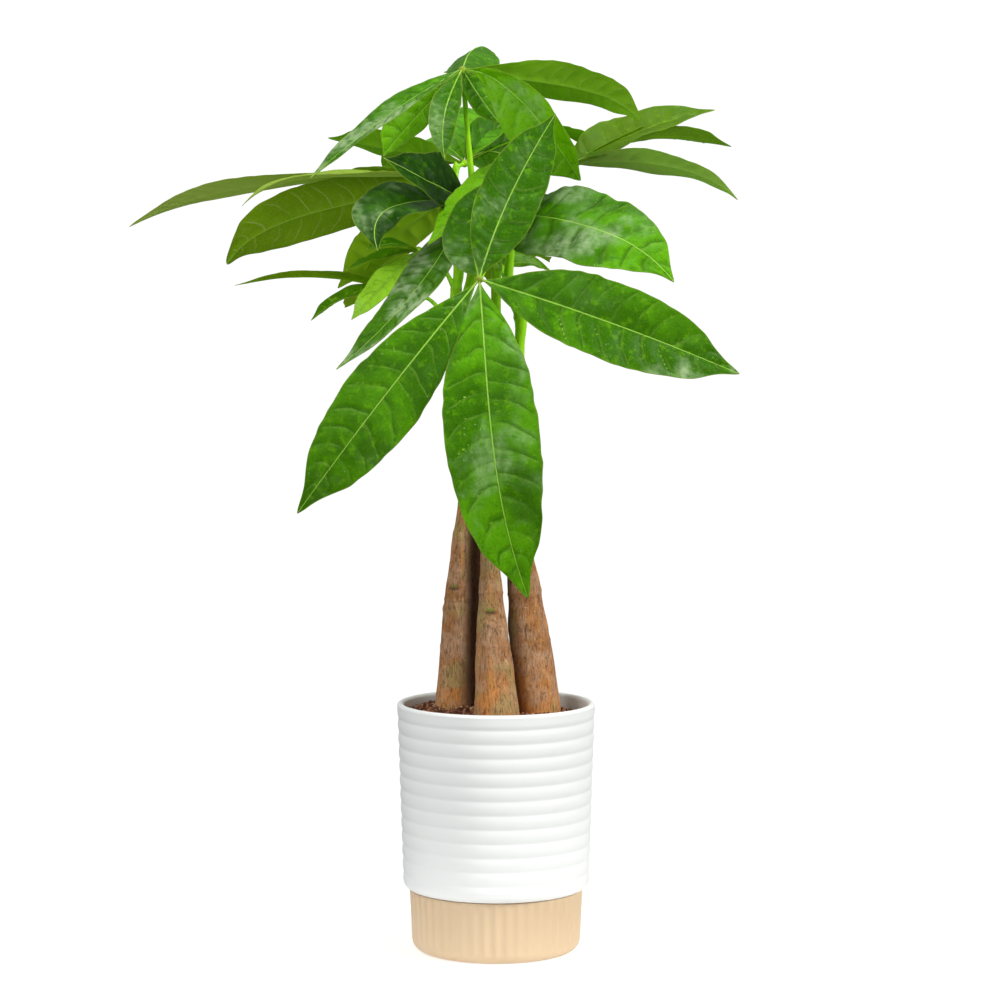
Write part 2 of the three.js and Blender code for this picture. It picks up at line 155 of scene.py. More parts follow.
class NodeKit:
    """Writes one node tree from formulas."""

    def __init__(self, tree: bpy.types.NodeTree) -> None:
        """Start on a tree.

        Args:
            tree: The shader or geometry tree to fill.
        """
        self.tree = tree

    def node(self, kind: str, inputs: Optional[dict[Any, Any]] = None, **settings: Any) -> bpy.types.Node:
        """Add a node.

        Args:
            kind: The node's type name.
            inputs: Values or terms for its input sockets, by name or index.
            **settings: Properties of the node itself.

        Returns:
            The node.
        """
        made = self.tree.nodes.new(kind)
        for key, value in settings.items():
            setattr(made, key, value)
        for key, value in (inputs or {}).items():
            self.feed(made.inputs[key], value)
        return made

    def feed(self, socket: Any, value: Any) -> None:
        """Link a term into a socket, or set the socket to a constant.

        Args:
            socket: The input socket.
            value: A term, an output socket or a constant.
        """
        if isinstance(value, Term):
            self.tree.links.new(value.socket, socket)
        elif isinstance(value, bpy.types.NodeSocket):
            self.tree.links.new(value, socket)
        else:
            socket.default_value = value

    def math(self, operation: str, *values: Any) -> Term:
        """Apply a number operation to one, two or three values."""
        made = self.node("ShaderNodeMath", dict(enumerate(values)), operation=operation)
        return Term(self, made.outputs[0])

    def vector_math(self, operation: str, *values: Any) -> Term:
        """Apply a vector operation that gives a vector."""
        made = self.node("ShaderNodeVectorMath", dict(enumerate(values)), operation=operation)
        return Term(self, made.outputs[0], vector=True)

    def scaled(self, vector: Any, number: Any) -> Term:
        """Multiply a vector by a number."""
        made = self.node("ShaderNodeVectorMath", {0: vector, "Scale": number}, operation="SCALE")
        return Term(self, made.outputs[0], vector=True)

    def combine(self, x: Any, y: Any, z: Any) -> Term:
        """Make a vector of three numbers."""
        made = self.node("ShaderNodeCombineXYZ", {0: x, 1: y, 2: z})
        return Term(self, made.outputs[0], vector=True)

    def step(self, value: Any, low: Any, high: Any, start: Any = 0.0, end: Any = 1.0) -> Term:
        """Go smoothly from one level to another.

        Args:
            value: What the result follows.
            low: The value at which the result leaves start.
            high: The value at which it reaches end; below low for a step that runs down the scale.
            start: The first level.
            end: The last level.

        Returns:
            The level.
        """
        made = self.node(
            "ShaderNodeMapRange",
            {"Value": value, "From Min": low, "From Max": high, "To Min": start, "To Max": end},
            interpolation_type="SMOOTHSTEP",
        )
        return Term(self, made.outputs["Result"])

    def sine(self, value: Any) -> Term:
        """Sine of an angle in radians."""
        return self.math("SINE", value)

    def cosine(self, value: Any) -> Term:
        """Cosine of an angle in radians."""
        return self.math("COSINE", value)

    def size(self, value: Any) -> Term:
        """Absolute value."""
        return self.math("ABSOLUTE", value)

    def bell(self, value: Any, width: Any) -> Term:
        """One where value is 0, falling off over width like a bell."""
        ratio = self.math("DIVIDE", value, width)
        return self.math("EXPONENT", -1.0 * ratio * ratio)

    def noise(
        self, place: Any, scale: float, detail: float = 2.0, roughness: float = 0.5, distortion: float = 0.0
    ) -> Term:
        """Cloud noise.

        Args:
            place: Where it is looked up.
            scale: Clouds on one unit of place, which is a metre for object coordinates.
            detail: How many finer layers it has.
            roughness: How strong they are.
            distortion: How far it is pulled out of shape.

        Returns:
            A number between 0 and 1.
        """
        inputs = {"Vector": place, "Scale": scale, "Detail": detail, "Roughness": roughness}
        made = self.node("ShaderNodeTexNoise", {**inputs, "Distortion": distortion})
        return Term(self, made.outputs[0])

    def cells(self, place: Any, scale: float, feature: str = "DISTANCE_TO_EDGE") -> Term:
        """Distance within a cell pattern of so many cells on a metre."""
        made = self.node("ShaderNodeTexVoronoi", {"Vector": place, "Scale": scale}, feature=feature)
        return Term(self, made.outputs["Distance"])


class ShaderKit(NodeKit):
    """Writes one material."""

    def __init__(self, name: str) -> None:
        """Start an empty material.

        Args:
            name: Its name.
        """
        self.material = bpy.data.materials.new(name)
        self.material.use_nodes = True
        self.material.node_tree.nodes.clear()
        super().__init__(self.material.node_tree)

    def place(self, stretch: Triple = (1.0, 1.0, 1.0)) -> Term:
        """Object coordinates in metres.

        Args:
            stretch: Factor along each axis, below 1 for a pattern drawn out along it.

        Returns:
            The coordinates.
        """
        made = self.node("ShaderNodeTexCoord")
        coordinates = Term(self, made.outputs["Object"], vector=True)
        if stretch == (1.0, 1.0, 1.0):
            return coordinates
        mapping = self.node("ShaderNodeMapping", {"Vector": coordinates, "Scale": stretch})
        return Term(self, mapping.outputs[0], vector=True)

    def attribute(self, name: str) -> Term:
        """A number carried by the mesh."""
        made = self.node("ShaderNodeAttribute", attribute_name=name)
        return Term(self, made.outputs["Fac"])

    def blend(self, first: Any, second: Any, share: Any) -> Term:
        """Mix two colours.

        Args:
            first: The colour where share is 0.
            second: The colour where share is 1.
            share: The second colour's share.

        Returns:
            The mixed colour.
        """
        made = self.node("ShaderNodeMix", data_type="RGBA")
        for index, value in ((0, share), (6, first), (7, second)):
            self.feed(made.inputs[index], value)
        return Term(self, made.outputs[2])

    def layered(self, base: Any, *layers: tuple[Any, Any]) -> Term:
        """Lay colours over one another.

        Args:
            base: The colour below.
            *layers: Each colour above it with its share, from below upwards.

        Returns:
            The colour on top.
        """
        for colour, share in layers:
            base = self.blend(base, colour, share)
        return base

    def relief(self, height: Any, depth: float, strength: float = 1.0) -> Term:
        """Bend the shading normal by a height pattern.

        Args:
            height: The pattern, where 1 is high.
            depth: Depth of a height of 1, in metres.
            strength: Share of the effect.

        Returns:
            The normal.
        """
        made = self.node("ShaderNodeBump", {"Height": height, "Distance": depth, "Strength": strength})
        return Term(self, made.outputs[0], vector=True)

    def surface(self, **inputs: Any) -> Term:
        """A general surface.

        Args:
            **inputs: Its inputs, by their sockets' names with _ for a space.

        Returns:
            The surface.
        """
        made = self.node("ShaderNodeBsdfPrincipled")
        for name, value in inputs.items():
            self.feed(made.inputs[name.replace("_", " ")], value)
        return Term(self, made.outputs[0])

    def glow_through(self, colour: Any, normal: Any) -> Term:
        """Light that passes through a thin leaf."""
        made = self.node("ShaderNodeBsdfTranslucent", {"Color": colour, "Normal": normal})
        return Term(self, made.outputs[0])

    def share_surfaces(self, first: Term, second: Term, share: Any) -> Term:
        """Mix two surfaces."""
        made = self.node("ShaderNodeMixShader", {0: share, 1: first, 2: second})
        return Term(self, made.outputs[0])

    def finish(self, surface: Term) -> bpy.types.Material:
        """Wire a surface to the output.

        Args:
            surface: The surface.

        Returns:
            The finished material.
        """
        made = self.node("ShaderNodeOutputMaterial")
        self.tree.links.new(surface.socket, made.inputs["Surface"])
        return self.material


class GeometryKit(NodeKit):
    """Writes one geometry tree with named inputs."""

    def __init__(self, name: str, **inputs: Sequence[str]) -> None:
        """Start a tree that takes a geometry and named inputs.

        Args:
            name: Name of the tree.
            **inputs: Names of the inputs by their kind: Vector, Float, Int or Material.
        """
        tree = bpy.data.node_groups.new(name, "GeometryNodeTree")
        tree.interface.new_socket("Geometry", in_out="INPUT", socket_type="NodeSocketGeometry")
        for kind, labels in inputs.items():
            for label in labels:
                tree.interface.new_socket(label, in_out="INPUT", socket_type=f"NodeSocket{kind}")
        tree.interface.new_socket("Geometry", in_out="OUTPUT", socket_type="NodeSocketGeometry")
        super().__init__(tree)
        self.entry = self.node("NodeGroupInput")
        self.vectors = inputs.get("Vector", ())

    def given(self, label: str) -> Term:
        """The named input of the tree."""
        return Term(self, self.entry.outputs[label], vector=label in self.vectors)

    def carried(self, name: str) -> Term:
        """A number that the incoming mesh carries."""
        made = self.node("GeometryNodeInputNamedAttribute", {"Name": name}, data_type="FLOAT")
        return Term(self, made.outputs["Attribute"])

    def moved(self, geometry: Any, position: Any) -> Term:
        """Put the points at a position."""
        made = self.node("GeometryNodeSetPosition", {"Geometry": geometry, "Position": position})
        return Term(self, made.outputs[0])

    def kept(self, geometry: Any, name: str, value: Any, domain: str = "POINT") -> Term:
        """Store a number on the geometry.

        Args:
            geometry: The geometry.
            name: Name of the attribute.
            value: The number.
            domain: What carries it: points or instances.

        Returns:
            The geometry with the number.
        """
        made = self.node(
            "GeometryNodeStoreNamedAttribute",
            {"Geometry": geometry, "Name": name, "Value": value},
            data_type="FLOAT",
            domain=domain,
        )
        return Term(self, made.outputs[0])

    def dressed(self, geometry: Any, material: Any, where: Optional[Any] = None) -> Term:
        """Set the material.

        Args:
            geometry: The geometry.
            material: The material.
            where: Condition of the faces that get it; all do without one.

        Returns:
            The geometry in its material.
        """
        made = self.node("GeometryNodeSetMaterial", {"Geometry": geometry, "Material": material})
        if where is not None:
            self.feed(made.inputs["Selection"], where)
        return Term(self, made.outputs[0])

    def finish(self, geometry: Term, material: Any, *extra: tuple[Any, Any]) -> bpy.types.NodeTree:
        """End the tree in smooth shading, Realize Instances and Set Material.

        Args:
            geometry: What the tree has made.
            material: The material for all of it.
            *extra: Further materials, each with its condition.

        Returns:
            The finished tree.
        """
        smooth = self.node("GeometryNodeSetShadeSmooth", {0: geometry})
        whole = self.node("GeometryNodeRealizeInstances", {0: smooth.outputs[0]})
        result = self.dressed(whole.outputs[0], material)
        for other, where in extra:
            result = self.dressed(result, other, where)
        leave = self.node("NodeGroupOutput")
        self.tree.links.new(result.socket, leave.inputs[0])
        return self.tree


# ---- meshes
def mesh_object(
    name: str,
    points: np.ndarray,
    faces: Sequence[Sequence[int]],
    numbers: Optional[dict[str, np.ndarray]] = None,
    edges: Sequence[tuple[int, int]] = (),
) -> bpy.types.Object:
    """Make an object from points in millimetres.

    Args:
        name: Name of the object and its mesh.
        points: One row of x, y, z for each point, in millimetres.
        faces: Corner indices of each face, turning outwards.
        numbers: Numbers to carry on the points, by name.
        edges: Loose edges, for a path.

    Returns:
        The object, linked to the scene.
    """
    mesh = bpy.data.meshes.new(name)
    mesh.from_pydata((np.asarray(points, float) * MM).tolist(), list(edges), [list(f) for f in faces])
    for label, values in (numbers or {}).items():
        layer = mesh.attributes.new(label, "FLOAT", "POINT")
        layer.data.foreach_set("value", np.asarray(values, np.float32))
    mesh.update()
    made = bpy.data.objects.new(name, mesh)
    bpy.context.scene.collection.objects.link(made)
    return made


def band_faces(rows: range, around: int, start: int = 0) -> list[list[int]]:
    """Faces between neighbouring rings of points.

    Args:
        rows: Numbers of the rings that have a band after them.
        around: Points on a ring.
        start: Index of the first point of ring 0.

    Returns:
        Four corner indices for each face.
    """
    faces = []
    for i in rows:
        for j in range(around):
            a, b = start + i * around + j, start + i * around + (j + 1) % around
            faces.append([a, b, b + around, a + around])
    return faces


def end_faces(around: int, last: int, low: int, high: int) -> list[list[int]]:
    """Faces that close the first ring and the last one, each to a point.

    Args:
        around: Points on a ring.
        last: Index of the last ring's first point.
        low: Index of the point that closes the first ring.
        high: Index of the point that closes the last ring.

    Returns:
        Three corner indices for each face.
    """
    faces = []
    for j in range(around):
        faces.append([low, (j + 1) % around, j])
        faces.append([last + j, last + (j + 1) % around, high])
    return faces


def grown(piece: bpy.types.Object, tree: bpy.types.NodeTree, inputs: dict[str, Any]) -> bpy.types.Object:
    """Run a geometry tree on an object and keep the result as a plain mesh.

    Args:
        piece: The object whose mesh the tree starts from.
        tree: The geometry tree.
        inputs: Values of the tree's named inputs.

    Returns:
        The same object, without the modifier.
    """
    modifier = piece.modifiers.new(tree.name, "NODES")
    modifier.node_group = tree
    for item in tree.interface.items_tree:
        if item.in_out == "INPUT" and item.name in inputs:
            modifier[item.identifier] = inputs[item.name]
    piece.update_tag()
    bpy.context.view_layer.update()
    depsgraph = bpy.context.evaluated_depsgraph_get()
    plain = bpy.data.meshes.new_from_object(
        piece.evaluated_get(depsgraph), preserve_all_data_layers=True, depsgraph=depsgraph
    )
    piece.modifiers.clear()
    old = piece.data
    piece.data = plain
    plain.name = piece.name
    bpy.data.meshes.remove(old)
    return piece


def joined(name: str, parts: Sequence[bpy.types.Object]) -> bpy.types.Object:
    """Join objects into one piece.

    Args:
        name: Name of the piece.
        parts: The objects, of which the first one stays.

    Returns:
        The piece.
    """
    first, chosen = parts[0], list(parts)
    with bpy.context.temp_override(
        active_object=first, object=first, selected_objects=chosen, selected_editable_objects=chosen
    ):
        bpy.ops.object.join()
    first.name = name
    first.data.name = name
    return first


def settle(piece: bpy.types.Object, slot: str, *nodes: str) -> None:
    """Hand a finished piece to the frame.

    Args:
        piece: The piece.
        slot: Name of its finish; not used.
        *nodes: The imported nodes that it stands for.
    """
    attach(piece, BODY)
    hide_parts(*nodes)
    faces = len(piece.data.polygons)
    LOG.info("%s stands for %s with %d faces", piece.name, ", ".join(nodes), faces)


class Clouds:
    """Smooth seeded noise in three dimensions, for shaping meshes."""

    SIDE = 32

    def __init__(self, seed: int) -> None:
        """Fill the lattice from a seed."""
        self.lattice = np.random.default_rng(seed).random((self.SIDE,) * 3)

    def at(self, points: np.ndarray, spacing: float, stretch: Triple = (1.0, 1.0, 1.0)) -> np.ndarray:
        """Noise from -1 to 1 at each point.

        Args:
            points: Rows of x, y, z in millimetres.
            spacing: Distance between the noise's lumps in millimetres.
            stretch: How much longer the lumps are along each axis.

        Returns:
            One number for each point.
        """
        p = points / (spacing * np.array(stretch)) + 1000.0
        cell = np.floor(p).astype(int)
        f = p - cell
        f = f * f * (3 - 2 * f)
        total = np.zeros(len(points))
        for dx in (0, 1):
            for dy in (0, 1):
                for dz in (0, 1):
                    i, j, k = ((cell + (dx, dy, dz)) % self.SIDE).T
                    share = (
                        (f[:, 0] if dx else 1 - f[:, 0])
                        * (f[:, 1] if dy else 1 - f[:, 1])
                        * (f[:, 2] if dz else 1 - f[:, 2])
                    )
                    total += share * self.lattice[i, j, k]
        return total * 2 - 1


def centripetal(points: np.ndarray, u: float) -> np.ndarray:
    """Point of a smooth curve through stations.

    Args:
        points: The stations, one row each.
        u: Place on the curve, 0 at its start and 1 at its end.

    Returns:
        The point.
    """
    last = len(points) - 1
    k = min(int(math.floor(u * last)), last - 1)
    w = u * last - k
    p1, p2 = points[k], points[k + 1]
    p0 = points[k - 1] if k > 0 else 2 * points[0] - points[1]
    p3 = points[k + 2] if k + 2 <= last else 2 * points[last] - points[last - 1]
    d0, d1, d2 = (math.sqrt(float(np.linalg.norm(b - a))) or 1.0 for a, b in ((p0, p1), (p1, p2), (p2, p3)))
    t1 = ((p1 - p0) / d0 - (p2 - p0) / (d0 + d1) + (p2 - p1) / d1) * d1
    t2 = ((p2 - p1) / d1 - (p3 - p1) / (d1 + d2) + (p3 - p2) / d2) * d1
    c2 = -3 * p1 + 3 * p2 - 2 * t1 - t2
    c3 = 2 * p1 - 2 * p2 + t1 + t2
    return p1 + t1 * w + c2 * w * w + c3 * w * w * w


def station_radius(radii: Sequence[float], u: float) -> float:
    """Radius between stations, eased from one to the next.

    Args:
        radii: The stations' radii.
        u: Place on the curve, 0 at its start and 1 at its end.

    Returns:
        The radius.
    """
    last = len(radii) - 1
    k = min(int(u * last), last - 1)
    f = u * last - k
    return radii[k] + (radii[k + 1] - radii[k]) * f * f * (3 - 2 * f)


# ---- finishes
class Face(Enum):
    """The two faces of a leaflet."""

    UPPER = "upper"
    UNDER = "under"


class LeafPattern:
    """Patterns on a leaf's face, from the numbers that its leaflets carry."""

    CLOUD_SCALE = 30.0  # these scales are in features on a metre
    FINE_SCALE = 210.0
    GRIT_SCALE = 700.0
    NET_SCALE = 430.0
    SHEEN_CLOUD_SCALE = 26.0
    SPECK_SCALE = 300.0

    def __init__(self, kit: ShaderKit) -> None:
        """Build the patterns.

        Args:
            kit: The material that shows them.
        """
        place = kit.place()
        rib, mid, edge = kit.attribute("rib"), kit.attribute("mid"), kit.attribute("edge")
        past = kit.math("FRACT", rib + 0.5) - 0.5  # signed distance past a side vein
        between = kit.math("FRACT", rib) - 0.5  # and past the finer vein between two
        inward = kit.step(edge, 0.5, 4.0)
        strength = kit.step(kit.noise(place, 75.0, 1.0), 0.3, 0.6, 0.25, 1.0)
        broken = kit.step(kit.noise(place, 110.0, 1.0), 0.5, 0.65)
        rib_width = 0.64 - kit.attribute("along") * 0.36
        self.tone, self.painted_sheen, self.warmth = (kit.attribute(name) for name in ("tone", "painted_sheen", "warmth"))
        # Darkened side-vein creases and a lighter rim beside each are painted shade and painted highlight.
        self.line = kit.step(kit.size(past), 0.05, 0.008) * inward * strength
        self.crease = kit.step(kit.size(past), 0.2, 0.0) * inward * strength
        self.finer = kit.step(kit.size(between), 0.09, 0.0) * inward * broken
        self.lit_crest = kit.bell(past - 0.11, 0.05) * inward * strength
        self.midrib = kit.step(mid, rib_width, rib_width * 0.55)
        # Darker band beside the midrib: painted shade of its groove.
        self.beside = kit.bell(mid - rib_width - 0.35, 0.3)
        self.margin = kit.step(edge, 0.75, 0.15)
        self.net = kit.step(kit.cells(place, self.NET_SCALE), 0.1, 0.01)
        self.cloud = kit.noise(place, self.CLOUD_SCALE, 3.0)
        self.fine = kit.noise(place, self.FINE_SCALE, 4.0, 0.6)
        self.grit = kit.noise(place, self.GRIT_SCALE, 3.0, 0.7)
        # Patches where the painted sheen lies.
        self.sheen_cloud = kit.noise(place, self.SHEEN_CLOUD_SCALE, 3.0, 0.6)
        dusty = kit.step(kit.noise(place, 55.0, 2.0), 0.54, 0.66)
        self.specks = kit.step(kit.cells(place, self.SPECK_SCALE, "F1"), 0.16, 0.05) * dusty


@dataclass(frozen=True)
class LeafFinish:
    """Colours and gloss of one kind of leaf."""

    slot: str
    upper: Colour
    deep: Colour
    lively: Colour
    under: Colour
    vein: Colour
    glow: Colour
    roughness: float = 0.36
    glow_share: float = 0.3  # how much of the light comes through

    MIDRIB = paint(164, 212, 84)
    MARGIN = paint(132, 150, 52)
    # Greyish green of painted sheen, patches that stand in for reflections of the lights.
    SHEEN_PAINT = paint(158, 184, 134)
    SPECK = paint(196, 212, 180)
    WARM = paint(112, 138, 4)
    # Dark green of painted shade in the creases.
    CREASE_SHADE = paint(20, 62, 6)
    UPPER_RELIEF = 0.34 * MM
    UNDER_RELIEF = 0.18 * MM

    def upper_colour(self, kit: ShaderKit, seen: LeafPattern) -> Term:
        """Colour of the upper face: green with painted shade in its creases and beside the midrib, a painted
        highlight beside each side vein, patches of painted sheen, dust specks and a pale midrib.

        Args:
            kit: The material.
            seen: Its patterns.

        Returns:
            The colour.
        """
        tone, painted_sheen, grit, fine = seen.tone, seen.painted_sheen, seen.grit, seen.fine
        marked = kit.step(tone, -0.2, 1.0, 1.0, 0.3)
        sheen_patches = kit.step(seen.sheen_cloud + painted_sheen * 0.05, 0.54, 0.7) * kit.step(fine, 0.3, 0.65, 0.2, 1.0)
        return kit.layered(
            self.deep,
            # The leaflet's tone lightens or darkens it, partly as painted light and shade.
            (self.upper, kit.step(seen.cloud, 0.35, 0.62, 0.1, 0.9) + tone),
            (self.lively, tone * 0.8),
            # Painted shade in the creases along the side veins.
            (self.deep, (seen.crease * 0.6 + seen.finer * 0.4) * marked),
            (self.CREASE_SHADE, (seen.line * 0.42 + seen.crease * 0.1) * marked),
            # Painted shade in the groove beside the midrib.
            (self.deep, seen.beside * kit.step(grit, 0.45, 0.6) * 0.9),
            # Painted highlight on the rim beside each side vein, with the paler vein net.
            (self.vein, seen.lit_crest * 0.14 + seen.net * 0.06),
            (self.lively, kit.step(fine, 0.52, 0.7, 0.0, 0.4)),
            (self.deep, kit.step(grit, 0.52, 0.3, 0.0, 0.4) + kit.step(fine, 0.46, 0.3, 0.0, 0.4)),
            # Painted sheen in patches, less in the creases.
            (self.SHEEN_PAINT, sheen_patches * kit.step(seen.crease, 0.0, 1.0, 1.0, 0.4) * painted_sheen),
            (self.SPECK, seen.specks * 0.6),
            (self.MIDRIB, seen.midrib * 0.95),
        )

    def under_colour(self, kit: ShaderKit, seen: LeafPattern) -> Term:
        """Colour of the under face: paler, with its veins standing out, and brightened by patches in the
        colour of light passing through the leaf, which is painted light.

        Args:
            kit: The material.
            seen: Its patterns.

        Returns:
            The colour.
        """
        return kit.layered(
            self.under,
            # Patches in the colour of light passing through the leaf: painted through-light.
            (self.glow, kit.step(seen.cloud, 0.3, 0.7, 0.0, 0.35)),
            # The leaflet's tone darkens or lightens it, partly as painted light and shade.
            (self.deep, seen.tone * -0.8),
            (self.vein, seen.tone * 0.7),
            (self.vein, seen.line * 0.6 + seen.finer * 0.2 + seen.net * 0.18),
            (self.MIDRIB, seen.midrib),
        )

    def material(self, face: Face) -> bpy.types.Material:
        """Make the finish of one face.

        Args:
            face: Upper or under face.

        Returns:
            The material.
        """
        upper = face is Face.UPPER
        kit = ShaderKit(f"{self.slot}_{face.value}")
        seen = LeafPattern(kit)
        colour = self.upper_colour(kit, seen) if upper else self.under_colour(kit, seen)
        colour = kit.layered(
            colour,
            (self.WARM, seen.warmth * kit.step(seen.cloud, 0.3, 0.6, 0.6, 1.0)),
            (self.MARGIN, seen.margin * 0.7),
        )
        if upper:
            height = seen.fine * 0.3 - seen.net * 0.15 - seen.crease * 0.7
            normal = kit.relief(height - seen.finer * 0.3 + seen.lit_crest * 0.3, self.UPPER_RELIEF, 0.85)
            wax = kit.step(seen.cloud, 0.25, 0.8, self.roughness - 0.05, self.roughness + 0.12)
            shown = self.glow_share
        else:
            normal = kit.relief(seen.fine * 0.3 + seen.line * 0.5 + seen.net * 0.1, self.UNDER_RELIEF, 0.6)
            wax = kit.step(seen.fine, 0.2, 0.8, 0.5, 0.68)
            shown = self.glow_share + 0.15
        body = kit.surface(
            Base_Color=colour, Roughness=wax, Specular_IOR_Level=0.06 if upper else 0.04, Normal=normal
        )
        shaded = kit.blend(self.glow, self.vein, seen.net * 0.3 + seen.midrib * 0.5)
        share = kit.step(seen.cloud, 0.2, 0.8, shown - 0.04, shown + 0.04)
        return kit.finish(kit.share_surfaces(body, kit.glow_through(shaded, normal), share))


@dataclass(frozen=True)
class StemFinish:
    """Green of shoots and leaf stalks."""

    slot: str
    light: Colour
    dark: Colour
    woody: Colour

    def material(self) -> bpy.types.Material:
        """Make the finish: lengthwise streaks, pale dots and a browner foot.

        Returns:
            The material.
        """
        kit = ShaderKit(self.slot)
        place = kit.place()
        streak = kit.noise(kit.place((1.0, 1.0, 0.12)), 700.0, 3.0)
        cloud = kit.noise(place, 45.0, 2.0)
        dots = kit.step(kit.cells(kit.place((1.0, 1.0, 0.6)), 520.0, "F1"), 0.2, 0.08)
        colour = kit.layered(
            self.dark,
            (self.light, kit.step(streak, 0.3, 0.7, 0.2, 1.0)),
            (self.light, kit.step(cloud, 0.4, 0.7, 0.0, 0.5)),
            (self.woody, kit.attribute("age")),
            (self.light, dots * 0.25),
        )
        normal = kit.relief(streak * 0.7 + dots * 0.3, 0.3 * MM, 0.5)
        rough = kit.step(cloud, 0.2, 0.8, 0.42, 0.56)
        body = kit.surface(Base_Color=colour, Roughness=rough, Specular_IOR_Level=0.16, Normal=normal)
        return kit.finish(body)


@dataclass(frozen=True)
class BarkFinish:
    """Grey-brown bark with tan streaks, pale flecks and leaf scars."""

    slot: str
    grey: Colour
    brown: Colour
    orange: Colour
    olive: Colour
    dark: Colour
    fleck: Colour
    bud: Colour

    def material(self) -> bpy.types.Material:
        """Make the finish.

        Returns:
            The material.
        """
        kit = ShaderKit(self.slot)
        place = kit.place()
        long_way = kit.place((1.0, 1.0, 0.14))
        streak = kit.noise(long_way, 1100.0, 4.0, 0.65)
        band = kit.noise(long_way, 170.0, 3.0, 0.55)
        patch = kit.noise(place, 60.0, 4.0, 0.6, 0.4)
        grain = kit.noise(place, 1300.0, 3.0, 0.7)
        wrinkle = kit.noise(kit.place((1.0, 1.0, 0.4)), 380.0, 5.0, 0.75, 0.6)
        mossy = kit.noise(place, 42.0, 3.0, 0.5)
        young, foot = kit.attribute("young"), kit.attribute("foot")
        chips = kit.step(kit.cells(kit.place((1.0, 1.0, 0.45)), 420.0, "F1"), 0.2, 0.06)
        chips = chips * kit.step(kit.noise(place, 85.0, 2.0), 0.55, 0.7)
        colour = kit.layered(
            self.brown,
            (self.grey, kit.step(patch, 0.36, 0.62)),
            (self.orange, kit.step(band, 0.5, 0.75, 0.0, 0.55)),
            (self.orange, foot * kit.step(patch, 0.65, 0.35, 0.15, 0.8)),
            (self.olive, kit.step(mossy, 0.5, 0.64, 0.0, 0.7)),
            (self.dark, kit.step(streak, 0.5, 0.32, 0.0, 0.6)),
            (self.dark, kit.step(wrinkle, 0.47, 0.34, 0.0, 0.62)),
            (self.fleck, kit.step(wrinkle, 0.56, 0.7, 0.0, 0.5)),
            (self.fleck, kit.step(streak, 0.6, 0.78, 0.0, 0.35)),
            (self.fleck, chips * 0.7),
            (self.dark, kit.step(grain, 0.48, 0.3, 0.0, 0.45)),
            (self.bud, young * kit.step(patch, 0.3, 0.6, 0.55, 0.95)),
            # Painted shade on the trunks' inner sides.
            (self.dark, kit.attribute("inner_shade") * 0.85),
            (self.dark, kit.attribute("scar") * 0.75),
            (self.bud, kit.attribute("bud")),
        )
        height = streak * 0.45 + wrinkle * 0.5 + grain * 0.2 + chips * 0.5 + band * 0.3
        normal = kit.relief(height, 0.85 * MM, 0.95)
        rough = kit.step(patch, 0.2, 0.8, 0.72, 0.9)
        body = kit.surface(Base_Color=colour, Roughness=rough, Specular_IOR_Level=0.25, Normal=normal)
        return kit.finish(body)


@dataclass(frozen=True)
class PlasticFinish:
    """Moulded plastic of the pot and its base."""

    slot: str
    colour: Colour
    shade: Colour
    roughness: float

    def material(self) -> bpy.types.Material:
        """Make the finish: a faint cloud in the colour and a fine moulded skin.

        Returns:
            The material.
        """
        kit = ShaderKit(self.slot)
        place = kit.place()
        cloud = kit.noise(place, 18.0, 3.0)
        skin = kit.noise(place, 1500.0, 2.0)
        specks = kit.step(kit.cells(place, 160.0, "F1"), 0.05, 0.02)
        shading = kit.step(cloud, 0.35, 0.75, 0.0, 0.5)
        colour = kit.layered(self.colour, (self.shade, shading), (self.shade, specks * 0.5))
        normal = kit.relief(skin, 0.03 * MM, 0.5)
        rough = kit.step(kit.noise(place, 60.0, 3.0), 0.3, 0.7, self.roughness - 0.04, self.roughness + 0.06)
        body = kit.surface(Base_Color=colour, Roughness=rough, Specular_IOR_Level=0.42, Normal=normal)
        return kit.finish(body)


@dataclass(frozen=True)
class SoilFinish:
    """Potting soil: dark peat with redder and paler crumbs."""

    slot: str
    peat: Colour
    red: Colour
    pale: Colour

    def material(self) -> bpy.types.Material:
        """Make the finish.

        Returns:
            The material.
        """
        kit = ShaderKit(self.slot)
        place = kit.place()
        patch = kit.noise(place, 120.0, 4.0, 0.65)
        grain = kit.noise(place, 900.0, 3.0, 0.7)
        crumb = kit.attribute("crumb")
        colour = kit.layered(
            self.peat,
            (self.red, kit.step(patch, 0.45, 0.7, 0.0, 0.8)),
            (self.red, kit.step(crumb, 0.25, 0.6)),
            (self.pale, kit.step(crumb, 0.72, 1.0)),
            (self.peat, kit.step(grain, 0.5, 0.3, 0.0, 0.6)),
        )
        normal = kit.relief(grain + patch * 0.5, 0.7 * MM, 0.9)
        rough = kit.step(grain, 0.2, 0.8, 0.85, 0.98)
        body = kit.surface(Base_Color=colour, Roughness=rough, Specular_IOR_Level=0.15, Normal=normal)
        return kit.finish(body)


@dataclass(frozen=True)
class FloorFinish:
    """Matt white of the studio floor."""

    colour: Colour
    glow: float

    def material(self) -> bpy.types.Material:
        """Make the finish.

        Returns:
            The material.
        """
        kit = ShaderKit("studio_white")
        faint = kit.noise(kit.place(), 3.0, 2.0)
        colour = kit.blend(self.colour, WHITE, kit.step(faint, 0.3, 0.7, 0.0, 0.04))
        body = kit.surface(
            Base_Color=colour,
            Roughness=0.9,
            Specular_IOR_Level=0.1,
            Emission_Color=WHITE,
            Emission_Strength=self.glow,
        )
        return kit.finish(body)


